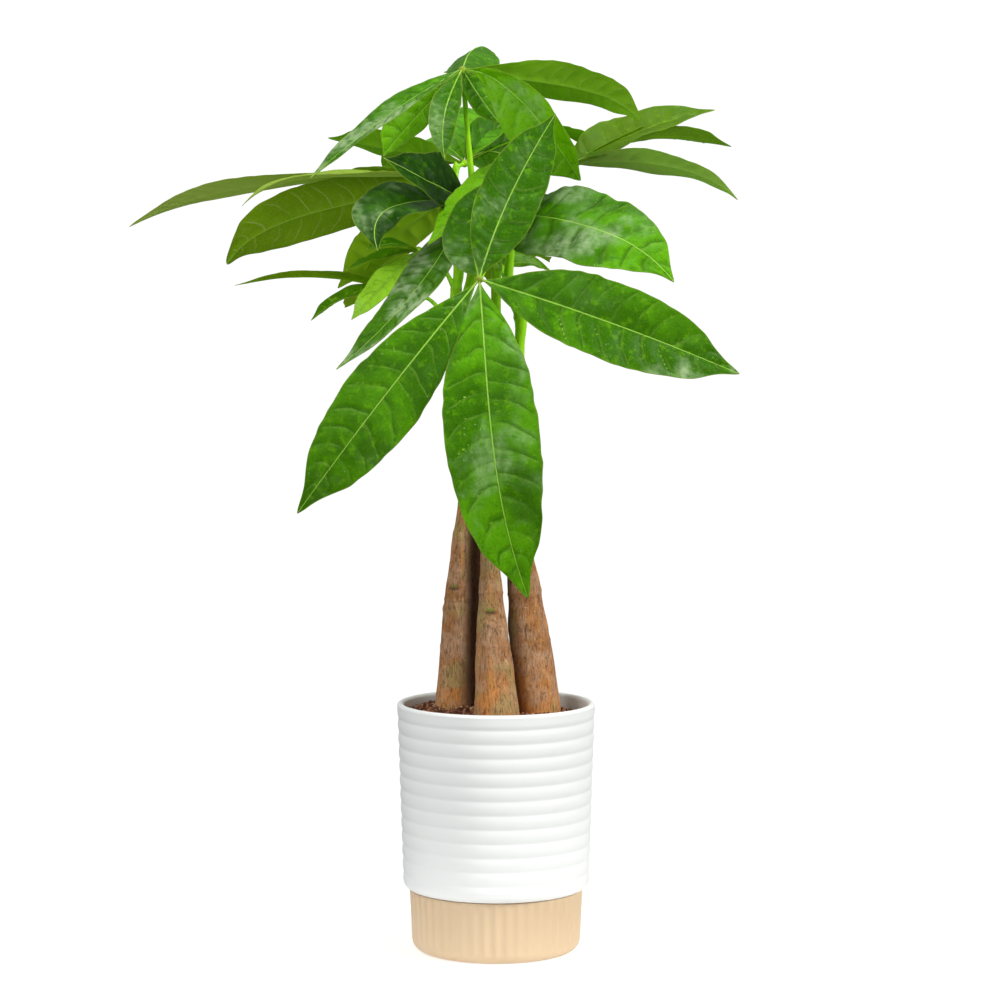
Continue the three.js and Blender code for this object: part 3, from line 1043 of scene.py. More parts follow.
WHITE_PLASTIC = PlasticFinish("pot_white", paint(238, 240, 239), paint(232, 235, 234), 0.4)
TAN_PLASTIC = PlasticFinish("cup_tan", paint(210, 185, 151), paint(202, 175, 140), 0.5)
BARK = BarkFinish(
    "bark",
    grey=paint(178, 140, 108),
    brown=paint(160, 110, 66),
    orange=paint(214, 140, 66),
    olive=paint(160, 140, 86),
    dark=paint(60, 34, 18),
    fleck=paint(224, 192, 146),
    bud=paint(112, 128, 40),
)
SOIL = SoilFinish("soil", peat=paint(72, 44, 34), red=paint(158, 104, 76), pale=paint(206, 172, 136))
# Its light green is brighter than the stems' own, to make up for the shade of the crown: painted light.
STEM = StemFinish("stem_green", light=paint(166, 230, 24), dark=paint(108, 196, 8), woody=paint(122, 128, 46))
GLOSSY_GREEN = LeafFinish(
    "leaf_green",
    upper=paint(96, 170, 8),
    deep=paint(50, 102, 3),
    lively=paint(122, 190, 12),
    under=paint(146, 200, 44),
    vein=paint(180, 212, 104),
    glow=paint(176, 224, 52),
    glow_share=0.28,
)
DEEP_GREEN = LeafFinish(
    "leaf_deep",
    upper=paint(62, 116, 12),
    deep=paint(22, 58, 5),
    lively=paint(90, 148, 20),
    under=paint(112, 164, 30),
    vein=paint(118, 158, 66),
    glow=paint(146, 200, 44),
    glow_share=0.22,
)
OLIVE_GREEN = LeafFinish(
    "leaf_olive",
    upper=paint(108, 154, 6),
    deep=paint(76, 122, 5),
    lively=paint(150, 178, 60),
    under=paint(146, 190, 20),
    vein=paint(206, 220, 128),
    glow=paint(186, 218, 40),
)
YOUNG_GREEN = LeafFinish(
    "leaf_young",
    upper=paint(118, 182, 10),
    deep=paint(48, 108, 4),
    lively=paint(168, 226, 60),
    under=paint(166, 212, 14),
    vein=paint(184, 220, 84),
    glow=paint(204, 234, 56),
    glow_share=0.38,
)


MATERIALS: dict[tuple[Any, ...], bpy.types.Material] = {}


def finish_material(finish: Any, *choice: Any) -> bpy.types.Material:
    """Material of a finish, made once and shared.

    Args:
        finish: The finish.
        *choice: What its material method takes.

    Returns:
        The material.
    """
    key = (finish.slot, *choice)
    if key not in MATERIALS:
        MATERIALS[key] = finish.material(*choice)
    return MATERIALS[key]


def coated(piece: bpy.types.Object, finish: Any) -> bpy.types.Object:
    """Shade a piece smooth and give it its finish.

    Args:
        piece: The piece.
        finish: Its finish.

    Returns:
        The same piece.
    """
    piece.data.shade_smooth()
    piece.data.materials.append(finish_material(finish))
    return piece


# ---- leaflets
@dataclass(frozen=True)
class Leaflet:
    """One leaflet: its midrib, width and pose, in millimetres and degrees."""

    mid: Triple
    tip: Triple
    width: float
    face: Triple
    fold: float
    hook: Triple = (0.0, 0.0, 0.0)
    belly: float = 0.95  # a higher one moves the widest place towards the tip
    taper: float = 0.1  # how slowly the blade widens from its foot
    fullness: float = 0.7  # lower for sides that run more nearly parallel
    tone: float = 0.0  # below 0 for a darker green, above 0 for a livelier one; set leaflet by leaflet, partly as painted light and shade
    painted_sheen: float = 0.2  # share of painted sheen, greyish patches on the upper face
    tip_sheen: float = 0.0  # the same, added towards the tip
    warmth: float = 0.0  # share of yellow in the green


@dataclass
class LeafletMaker:
    """Bends a flat closed blank into any leaflet, by one geometry tree."""

    thickness: float = 0.45  # of the blade
    petiolule: float = 1.5  # thickness of a leaflet's short stalk
    foot: float = 0.75  # half width of that stalk
    point: float = 0.3  # half width at the very tip
    tip_start: float = 0.82  # where along the blade its drawn-out tip begins
    tip_share: float = 0.55  # how much of the width is left there
    ridge: float = 0.9  # how far the midrib stands out underneath
    trough: float = 0.4  # how far it is sunk on top
    vein_sweep: float = 0.07  # how far the side veins lean to the tip, part of the length
    vein_pitch: float = 13.5  # distance between side veins on a leaflet of the usual width
    usual_width: float = 50.0
    margin_wave: float = 0.03  # rise and fall of the margin, part of the width
    scallop: float = 0.012  # swelling of the margin between veins, part of the half width
    raggedness: float = 0.16  # unevenness of the margin, part of the half width
    stations_per_mm: float = 0.85
    stations_range: tuple[int, int] = (50, 120)
    tree: Optional[bpy.types.NodeTree] = None

    BLANK = (20.0, 100.0, 0.5)  # half width, length and half thickness of the flat blank
    ACROSS = (0, 0.018, 0.045, 0.09, 0.16, 0.25, 0.35, 0.46, 0.57, 0.68, 0.79, 0.88, 0.95, 0.985, 1)
    POSE = ("Root", "Near handle", "Far handle", "Tip", "Lift")  # names of the tree's inputs
    SIZES = (
        "Width", "Belly", "Taper", "Fullness", "Fold", "Side veins", "Quilting", "Waviness", "Phase",
        "Tone and shade", "Painted sheen", "Tip sheen", "Warmth",
    )
    FACES = ("Upper face", "Under face")

    def blank(self, stations: int) -> tuple[np.ndarray, list[list[int]], dict[str, np.ndarray]]:
        """Flat closed leaflet blank, one loop of points for each station.

        Args:
            stations: Number of loops along the leaflet.

        Returns:
            Points, faces and the numbers that say where each point belongs.
        """
        half = list(self.ACROSS)
        across = [-k for k in reversed(half[1:])] + half
        n = len(across)
        ring = across + list(reversed(across))
        side = [1.0] * n + [-1.0] * n
        t = np.linspace(0, 1, stations)
        along = t - 0.055 * np.sin(2 * math.pi * t)
        k = np.tile(ring, stations)
        s = np.repeat(along, 2 * n)
        f = np.tile(side, stations)
        faces = band_faces(range(stations - 1), 2 * n)
        end = (stations - 1) * 2 * n
        for j in range(n - 1):
            under, beyond = 2 * n - 1 - j, 2 * n - 2 - j
            faces.append([j, under, beyond, j + 1])
            faces.append([end + j, end + j + 1, end + beyond, end + under])
        points = np.stack([k, s, f], axis=1) * self.BLANK
        return points, faces, {"across": k, "along": s, "side": f}

    def midrib(self, kit: GeometryKit, s: Term) -> tuple[Term, Term, Term]:
        """Curve of the midrib.

        Args:
            kit: The tree.
            s: Place along the blade, from 0 to 1.

        Returns:
            Its point, the way across the blade and the way out of its upper face.
        """
        root, near, far, tip = (kit.given(n) for n in ("Root", "Near handle", "Far handle", "Tip"))
        r = 1.0 - s
        centre = root * (r * r * r) + near * (r * r * s * 3.0) + far * (r * s * s * 3.0) + tip * (s * s * s)
        heading = (near - root) * (r * r) + (far - near) * (r * s * 2.0) + (tip - far) * (s * s)
        heading = kit.vector_math("NORMALIZE", heading)
        side = kit.vector_math("NORMALIZE", kit.vector_math("CROSS_PRODUCT", heading, kit.given("Lift")))
        return centre, side, kit.vector_math("CROSS_PRODUCT", side, heading)

    def half_width(self, kit: GeometryKit, s: Term) -> Term:
        """Half width of the blade, which widens from its stalk and ends in a drawn-out tip.

        Args:
            kit: The tree.
            s: Place along the blade, from 0 to 1.

        Returns:
            The half width in metres.
        """
        swell = kit.math("MAXIMUM", kit.sine(s ** kit.given("Belly") * math.pi), 0.0) ** kit.given("Fullness")
        outline = swell * 0.5 * (1.0 - kit.math("EXPONENT", -1.0 * s / kit.given("Taper")))
        outline = outline * kit.step(s, self.tip_start, 0.97, 1.0, self.tip_share)
        least = kit.step(s, 0.0, 1.0, self.foot * MM, self.point * MM)
        return kit.math("MAXIMUM", kit.given("Width") * outline, least)

    def side_veins(self, kit: GeometryKit, k: Term, s: Term, m: Term) -> Term:
        """Count of the side veins passed on the way to the tip, bent, staggered and uneven.

        Args:
            kit: The tree.
            k: Place across the blade, from -1 to 1.
            s: Place along the blade, from 0 to 1.
            m: Distance from the midrib, from 0 to 1.

        Returns:
            The count, which is whole on a vein.
        """
        phase = kit.given("Phase")
        wander = kit.sine(s * 9.0 + phase) * 0.2 + kit.sine(s * 23.0 + phase * 1.7) * 0.12
        stagger = kit.step(k, -0.05, 0.05, 0.0, 0.45)
        wobble = kit.noise(kit.combine(s * 7.0 + phase, k * 1.4, phase), 1.0, 1.0) - 0.5
        return kit.given("Side veins") * (s - m**1.8 * self.vein_sweep) + stagger + wander + wobble * 0.5

    def build_tree(self) -> bpy.types.NodeTree:
        """Write the tree that turns the blank into a leaflet.

        Returns:
            The tree, with the leaflet's pose, sizes and faces as named inputs.
        """
        kit = GeometryKit("leaflet", Vector=self.POSE, Float=self.SIZES, Material=self.FACES)
        k, s, f = kit.carried("across"), kit.carried("along"), kit.carried("side")
        fold, phase, waviness = kit.given("Fold"), kit.given("Phase"), kit.given("Waviness")
        centre, side, up = self.midrib(kit, s)
        half = self.half_width(kit, s)
        m = kit.size(k)
        from_mid = m * half  # metres from the midrib
        rib = self.side_veins(kit, k, s, m)

        pillow = kit.size(kit.sine(rib * math.pi)) ** 0.6
        uneven = kit.noise(kit.combine(s * 9.0, k * 2.0, phase), 1.0, 1.0)
        zone = kit.step(m, 0.03, 0.24) * kit.step(m, 1.0, 0.78)
        zone = zone * kit.step(s, 0.03, 0.14) * kit.step(s, 0.99, 0.86)
        quilt = (pillow - 0.6) * zone * kit.given("Quilting") * kit.step(uneven, 0.3, 0.65, 0.3, 1.35)
        scallop = kit.cosine(rib * (2 * math.pi)) * kit.step(m, 0.55, 1.0) * kit.step(s, 0.05, 0.2)
        scallop = scallop * kit.step(s, 1.0, 0.85) * kit.step(uneven, 0.35, 0.65, 0.15, 1.0)

        vee = kit.sine(fold) * from_mid * (1.22 - m * 0.22)
        wave = kit.sine(s * 14.0 + k * 2.0) * half * (2 * self.margin_wave) * m**1.3
        soft = kit.noise(kit.combine(s * 3.2 + phase, k * 0.9, phase), 1.0, 1.0) - 0.5
        sway = soft * waviness * kit.step(s, 0.02, 0.25)
        depth = kit.step(kit.step(f, -0.5, 0.5), 0.0, 1.0, -self.ridge * MM, -self.trough * MM)
        crease = kit.bell(from_mid, 1.3 * MM) * kit.step(s, 0.0, 1.0, 1.0, 0.3)
        crease = crease * kit.step(s, 0.0, 0.08) * kit.step(s, 1.0, 0.93) * depth
        body = kit.step(s, 0.96, 1.0, self.thickness * 0.5 * MM, self.thickness * 0.25 * MM)
        body = body * (1.0 - m**4 * 0.4)
        stalk = kit.step(s, 0.09, 0.015) * kit.math("SQRT", 1.001 - m * m) * (self.petiolule * 0.5 * MM)

        rise = vee + wave + quilt + sway + crease + f * (body + stalk) + scallop * half * waviness * 9.0
        each_side = kit.step(k, -0.05, 0.05, 0.0, 9.0)
        ragged = kit.noise(kit.combine(s * 6.0 + phase, each_side, phase), 1.0, 1.0) - 0.5
        spread = k * half * kit.cosine(fold) * (1.0 + scallop * self.scallop + ragged * m * self.raggedness)
        geometry = kit.moved(kit.entry.outputs["Geometry"], centre + side * spread + up * rise)
        for label, value in (
            ("rib", rib),
            ("mid", from_mid * (1 / MM)),
            ("edge", (half - from_mid) * (1 / MM)),
            ("tone", kit.given("Tone and shade")),
            ("painted_sheen", kit.given("Painted sheen") + kit.given("Tip sheen") * kit.step(s, 0.55, 0.85)),
            ("warmth", kit.given("Warmth")),
        ):
            geometry = kit.kept(geometry, label, value)
        on_top = kit.math("GREATER_THAN", f, 0.01)
        return kit.finish(geometry, kit.given("Under face"), (kit.given("Upper face"), on_top))

    def make(
        self, name: str, hub: Triple, leaflet: Leaflet, finish: LeafFinish, draw: np.random.Generator
    ) -> bpy.types.Object:
        """Make one leaflet.

        Args:
            name: Name of the mesh while it is made.
            hub: Where the leaflets of the leaf meet.
            leaflet: The leaflet's pose and size.
            finish: Colours of its faces.
            draw: Source of the small random differences.

        Returns:
            The leaflet as a plain mesh.
        """
        if self.tree is None:
            self.tree = self.build_tree()
        a, e, mid = (np.array(p, float) for p in (hub, leaflet.tip, leaflet.mid))
        along = e - a
        length = float(np.linalg.norm(along))
        face = np.array(leaflet.face, float)
        face /= np.linalg.norm(face)
        lift = face - along * float(face @ along) / length**2
        lift /= np.linalg.norm(lift)
        arch = (mid - (a + e) / 2) * 4 / 3
        hook = np.array(leaflet.hook, float)
        near, far = a + along / 3 + arch - hook, a + along * 2 / 3 + arch + hook
        points, faces, numbers = self.blank(int(np.clip(length * self.stations_per_mm, *self.stations_range)))
        piece = mesh_object(name, points, faces, numbers)
        size = leaflet.width / self.usual_width
        inputs = {
            "Root": (a * MM).tolist(),
            "Near handle": (near * MM).tolist(),
            "Far handle": (far * MM).tolist(),
            "Tip": (e * MM).tolist(),
            "Lift": lift.tolist(),
            "Width": leaflet.width * MM,
            "Belly": leaflet.belly,
            "Taper": leaflet.taper,
            "Fullness": leaflet.fullness,
            "Fold": math.radians(leaflet.fold),
            "Side veins": float(max(6, round(length / (self.vein_pitch * (0.45 + 0.55 * size))))),
            "Quilting": float(draw.uniform(1.3, 1.9)) * size * MM,
            "Waviness": float(draw.uniform(1.6, 2.6)) * size * MM,
            "Phase": float(draw.uniform(0, FULL_TURN)),
            "Tone and shade": leaflet.tone + float(draw.uniform(-0.15, 0.15)),
            "Painted sheen": leaflet.painted_sheen,
            "Tip sheen": leaflet.tip_sheen,
            "Warmth": leaflet.warmth,
            "Upper face": finish_material(finish, Face.UPPER),
            "Under face": finish_material(finish, Face.UNDER),
        }
        return grown(piece, self.tree, inputs)


# ---- stems
@dataclass
class TubeMaker:
    """Grows round stems along paths, by one geometry tree."""

    tree: Optional[bpy.types.NodeTree] = None

    def build_tree(self) -> bpy.types.NodeTree:
        """Write the tree: path and girth in, closed tube out.

        Returns:
            The tree.
        """
        kit = GeometryKit("stem", Int=("Sides",), Material=("Finish",))
        path = kit.node("GeometryNodeMeshToCurve", {0: kit.entry.outputs["Geometry"]})
        ring = kit.node("GeometryNodeCurvePrimitiveCircle", {"Resolution": kit.given("Sides"), "Radius": 1.0})
        tube = kit.node(
            "GeometryNodeCurveToMesh",
            {
                "Curve": path.outputs[0],
                "Profile Curve": ring.outputs[0],
                "Scale": kit.carried("girth"),
                "Fill Caps": True,
            },
        )
        return kit.finish(Term(kit, tube.outputs[0]), kit.given("Finish"))

    def make(
        self, name: str, path: np.ndarray, girth: np.ndarray, age: np.ndarray, sides: int, finish: StemFinish
    ) -> bpy.types.Object:
        """Make one stem.

        Args:
            name: Name of the object.
            path: Points of its middle line in millimetres.
            girth: Radius at each point in millimetres.
            age: 0 for green and 1 for woody, at each point.
            sides: Number of sides.
            finish: Its colours.

        Returns:
            The stem as a plain mesh.
        """
        if self.tree is None:
            self.tree = self.build_tree()
        edges = [(i, i + 1) for i in range(len(path) - 1)]
        piece = mesh_object(name, path, [], {"girth": girth * MM, "age": age}, edges)
        return grown(piece, self.tree, {"Sides": sides, "Finish": finish_material(finish)})


TUBES = TubeMaker()
BLADES = LeafletMaker()


@dataclass
class CompoundLeaf:
    """A leaf stalk with a fan of leaflets at its end."""

    node: str
    start: Triple
    via: Triple
    hub: Triple
    finish: LeafFinish
    seed: int
    leaflets: tuple[Leaflet, ...]
    foot_radius: float = 2.2
    stalk_radius: float = 1.25
    neck_radius: float = 1.7
    knob_radius: float = 2.5
    knob_length: float = 3.2  # how far the knob reaches down the stalk

    KNOB_CAP = ((0.8, 0.93), (1.5, 0.75), (2.0, 0.45), (2.2, 0.12))  # reach past the hub, share of its radius

    def stalk(self) -> bpy.types.Object:
        """Stalk from the shoot to the knob that holds the leaflets.

        Returns:
            The stalk as a plain mesh.
        """
        a, b, c = (np.array(p, float) for p in (self.start, self.via, self.hub))
        stations = np.array([a, (a + b) / 2, b, (b + c) / 2, c])
        u = np.linspace(0, 1, 49)
        path = np.array([centripetal(stations, float(x)) for x in u])
        middle = self.stalk_radius
        radii = (self.foot_radius, middle * 1.15, middle, middle, self.neck_radius)
        girth = np.array([station_radius(radii, float(x)) for x in u])
        away = np.linalg.norm(path - c, axis=1)
        girth = np.maximum(girth, self.knob_radius * np.exp(-((away / self.knob_length) ** 4)))
        tail = path[-1] - path[-2]
        tail /= np.linalg.norm(tail)
        path = np.vstack([path] + [c + tail * reach for reach, _ in self.KNOB_CAP])
        girth = np.append(girth, [self.knob_radius * share for _, share in self.KNOB_CAP])
        age = np.clip(0.35 - np.linalg.norm(path - a, axis=1) / 30, 0, 1)
        age += 0.9 * np.exp(-((np.linalg.norm(path - path[-1], axis=1) / 3.6) ** 2))
        return TUBES.make(f"stalk_{self.node}", path, girth, age, 14, STEM)

    def make(self) -> None:
        """Join the stalk and its leaflets into the piece that replaces the solid leaf."""
        draw = np.random.default_rng(self.seed)
        parts = [self.stalk()]
        for i, leaflet in enumerate(self.leaflets):
            parts.append(BLADES.make(f"{self.node}_{i}", self.hub, leaflet, self.finish, draw))
        piece = joined(f"fine_{self.node}", parts)
        settle(piece, self.finish.slot, self.node)


@dataclass
class Shoot:
    """A green shoot on a trunk's cut top."""

    node: str
    stations: tuple[tuple[float, float, float, float], ...]
    joints: tuple[float, ...] = ()  # heights of its swollen leaf joints
    joint_swell: float = 0.55
    joint_length: float = 2.2
    sides: int = 24
    woody_length: float = 62.0  # how far up the brown of its foot reaches

    def make(self) -> None:
        """Grow the shoot, woody at its foot, with a ring at each leaf joint."""
        table = np.array(self.stations)
        u = np.linspace(0, 1, 150)
        path = np.array([centripetal(table[:, :3], float(x)) for x in u])
        girth = np.array([station_radius(table[:, 3], float(x)) for x in u])
        for height in self.joints:
            off = (path[:, 2] - height) / self.joint_length
            girth += self.joint_swell * np.exp(-(off**2)) - 0.25 * np.exp(-((off - 1.6) ** 2))
        girth[-6:] *= np.array([1, 0.97, 0.9, 0.75, 0.5, 0.15])
        age = np.clip(0.95 - (path[:, 2] - path[0, 2]) / self.woody_length, 0, 1)
        for height in self.joints:
            age += 0.35 * np.exp(-(((path[:, 2] - height) / 1.2) ** 2))
        piece = TUBES.make(f"fine_{self.node}", path, girth, np.clip(age, 0, 1), self.sides, STEM)
        settle(piece, STEM.slot, self.node)


class Mark(Enum):
    """Marks on a trunk's bark."""

    SCAR = "scar"
    CHIP = "chip"


@dataclass(frozen=True)
class BarkMark:
    """One mark: height, angle from the front towards +X in degrees, and size."""

    kind: Mark
    height: float
    angle: float
    wide: float = 4.0
    high: float = 1.7


@dataclass(frozen=True)
class Skin:
    """A trunk's bare surface, with one row for each point."""

    centre: np.ndarray  # on the trunk's middle line
    out: np.ndarray  # the way outwards
    radius: np.ndarray
    share: np.ndarray  # place along the trunk, from 0 to 1

    def points(self) -> np.ndarray:
        """Where the points lie, in millimetres."""
        return self.centre + self.out * self.radius[:, None]


@dataclass
class Trunk:
    """A woody trunk, thick below and narrowing to a cut top."""

    node: str
    stations: tuple[tuple[float, float, float, float], ...]
    marks: tuple[BarkMark, ...] = ()
    seed: int = 5
    extra_inner_shade: float = 0.0  # painted shade on its inner side beyond that of the other trunks
    lobes: float = 0.035  # unevenness of its section
    around: int = 112
    rows: int = 300
    soil_z: float = 153.0
    foot_length: float = 42.0  # how far up its redder, rougher foot reaches
    young_length: float = 30.0  # how far down its green top reaches
    old_rings: tuple[float, ...] = (0.46, 0.63, 0.8)  # where along it they lie
    ring_height: float = 0.28
    ring_share: float = 0.006  # half length of a ring, part of the trunk's

    def skin(self) -> Skin:
        """Sweep the lobed section along the trunk.

        Returns:
            The bare surface, ring by ring from the foot.
        """
        table = np.array(self.stations)
        turn = np.linspace(0, 2 * math.pi, self.around, endpoint=False)
        side = np.array([1.0, 0.0, 0.0])
        step = 1e-3
        centres, outs, radii, shares = [], [], [], []
        for i in range(self.rows + 1):
            u = i / self.rows
            t = centripetal(table[:, :3], min(u + step, 1)) - centripetal(table[:, :3], max(u - step, 0))
            t /= np.linalg.norm(t)
            side = side - t * float(side @ t)
            side /= np.linalg.norm(side)
            up = np.cross(t, side)
            centres.append(np.tile(centripetal(table[:, :3], u), (self.around, 1)))
            outs.append(np.outer(np.cos(turn), side) + np.outer(np.sin(turn), up))
            radii.append(station_radius(table[:, 3], u) * (1 + self.lobes * np.sin(3 * turn + 5 * u)))
            shares.append(np.full(self.around, u))
        return Skin(np.vstack(centres), np.vstack(outs), np.concatenate(radii), np.concatenate(shares))

    def lumps(self, skin: Skin, foot: np.ndarray) -> np.ndarray:
        """Lumps, wrinkles and old rings of the bark.

        Args:
            skin: The bare surface.
            foot: How near the soil each point is, from 0 to 1.

        Returns:
            How far each point stands out.
        """
        clouds, points = Clouds(self.seed), skin.points()
        bulge = 0.55 * clouds.at(points, 22, (1, 1, 1.6)) + 0.28 * clouds.at(points, 8, (1, 1, 2.2))
        bulge += (0.12 + 0.22 * foot) * clouds.at(points, 2.2, (1, 1, 4))
        bulge += 0.08 * clouds.at(points, 1.2, (1, 1, 3))
        for place in self.old_rings:
            off = skin.share - place - 0.012 * clouds.at(points, 12)
            bulge += self.ring_height * np.exp(-((off / self.ring_share) ** 2))
        return bulge

    def marked(self, skin: Skin) -> tuple[np.ndarray, np.ndarray, np.ndarray]:
        """Chips and leaf scars.

        Args:
            skin: The bare surface.

        Returns:
            How far each point stands out, and how much of a scar and of a scar's bud is there.
        """
        height = skin.points()[:, 2]
        facing = np.degrees(np.arctan2(skin.out[:, 0], -skin.out[:, 1]))
        bulge, scar, bud = (np.zeros(len(height)) for _ in range(3))
        for mark in self.marks:
            sideways = ((facing - mark.angle + 180) % 360 - 180) / 180 * math.pi * skin.radius
            x, z = sideways / mark.wide, (height - mark.height) / mark.high
            spot = np.exp(-((x**2 + z**2) ** 1.5))
            if mark.kind is Mark.CHIP:
                bulge += 0.7 * spot
                continue
            bulge += 0.8 * np.exp(-(x**2 + (z * 0.7) ** 2)) - 0.55 * spot
            scar = np.maximum(scar, np.exp(-((x**2 + ((z + 0.35) * 1.3) ** 2) ** 2)))
            bud = np.maximum(bud, np.exp(-(((x * 1.7) ** 2 + ((z - 0.5) * 2.2) ** 2) ** 2)))
        return bulge, scar, bud

    def make(self) -> None:
        """Shape the trunk with its lobes, lumps, wrinkles and marks."""
        skin = self.skin()
        bare = skin.points()
        x, y, height = bare.T
        inwards = -(skin.out[:, 0] * x + skin.out[:, 1] * y) / np.hypot(x, y)
        foot = np.clip(1 - (height - self.soil_z) / self.foot_length, 0, 1) ** 1.3
        bulge, scar, bud = self.marked(skin)
        bulge += self.lumps(skin, foot)
        numbers = {
            "scar": scar,
            "bud": bud,
            "foot": foot,
            # Painted shade on the side that faces the other trunks.
            "inner_shade": np.clip(inwards * 1.2 - 0.1 + self.extra_inner_shade, 0, 1),
            "young": np.clip(1 - (self.stations[-1][2] - height) / self.young_length, 0, 1),
        }
        numbers = {key: np.append(values, [0, 0]) for key, values in numbers.items()}
        points = np.vstack([bare + skin.out * bulge[:, None], skin.centre[-1], skin.centre[0]])
        faces = band_faces(range(self.rows), self.around)
        faces += end_faces(self.around, self.rows * self.around, low=len(bare) + 1, high=len(bare))
        piece = coated(mesh_object(f"fine_{self.node}", points, faces, numbers), BARK)
        settle(piece, BARK.slot, self.node)


# ---- pot, base and soil
@dataclass
class Turner:
    """Turns a profile about the upright axis, with flutes where asked, by one geometry tree."""

    tree: Optional[bpy.types.NodeTree] = None

    def build_tree(self) -> bpy.types.NodeTree:
        """Write the tree: radius, height and turn in, fluted surface out.

        Returns:
            The tree.
        """
        kit = GeometryKit("turned", Float=("Flutes", "Flute depth"), Material=("Finish",))
        radius, height, turn, fluted = (kit.carried(n) for n in ("radius", "height", "turn", "fluted"))
        dip = (1.0 - kit.cosine(turn * kit.given("Flutes"))) * 0.5
        dip = dip**0.8 * fluted * kit.given("Flute depth")
        out = radius - dip
        position = kit.combine(out * kit.cosine(turn), out * kit.sine(turn), height)
        geometry = kit.moved(kit.entry.outputs["Geometry"], position)
        return kit.finish(geometry, kit.given("Finish"))

    def make(
        self,
        name: str,
        profile: np.ndarray,
        sides: int,
        finish: PlasticFinish,
        fluted: Optional[np.ndarray] = None,
        flutes: int = 0,
        depth: float = 0.0,
    ) -> bpy.types.Object:
        """Turn a profile that starts and ends on the axis.

        Args:
            name: Name of the object.
            profile: Rows of radius and height in millimetres, from below round the outside.
            sides: Number of sides.
            finish: Its plastic.
            fluted: Share of the flutes' depth on each row.
            flutes: Number of flutes.
            depth: Depth of the flutes in millimetres.

        Returns:
            The turned shell as a plain mesh.
        """
        if self.tree is None:
            self.tree = self.build_tree()
        share = np.zeros(len(profile)) if fluted is None else fluted
        turns = np.arange(sides) / sides * 2 * math.pi
        inner = profile[1:-1]
        radius = np.repeat(inner[:, 0], sides)
        height = np.repeat(inner[:, 1], sides)
        numbers = {
            "radius": np.append(radius, [0, 0]) * MM,
            "height": np.append(height, [profile[0, 1], profile[-1, 1]]) * MM,
            "turn": np.append(np.tile(turns, len(inner)), [0, 0]),
            "fluted": np.append(np.repeat(share[1:-1], sides), [0, 0]),
        }
        faces = band_faces(range(len(inner) - 1), sides)
        faces += end_faces(sides, (len(inner) - 1) * sides, low=len(radius), high=len(radius) + 1)
        points = np.zeros((len(radius) + 2, 3))
        piece = mesh_object(name, points, faces, numbers)
        inputs = {"Flutes": float(flutes), "Flute depth": depth * MM, "Finish": finish_material(finish)}
        return grown(piece, self.tree, inputs)


TURNER = Turner()


def arc(
    centre: tuple[float, float], radius: float, start: float, end: float, count: int
) -> list[list[float]]:
    """Points of an arc in a profile.

    Args:
        centre: Its radius and height in the profile.
        radius: Radius of the arc.
        start: First angle in degrees, from outwards to upwards.
        end: Last angle in degrees.
        count: Number of points.

    Returns:
        Rows of radius and height.
    """
    angles = np.radians(np.linspace(start, end, count))
    return [[centre[0] + radius * math.cos(a), centre[1] + radius * math.sin(a)] for a in angles]


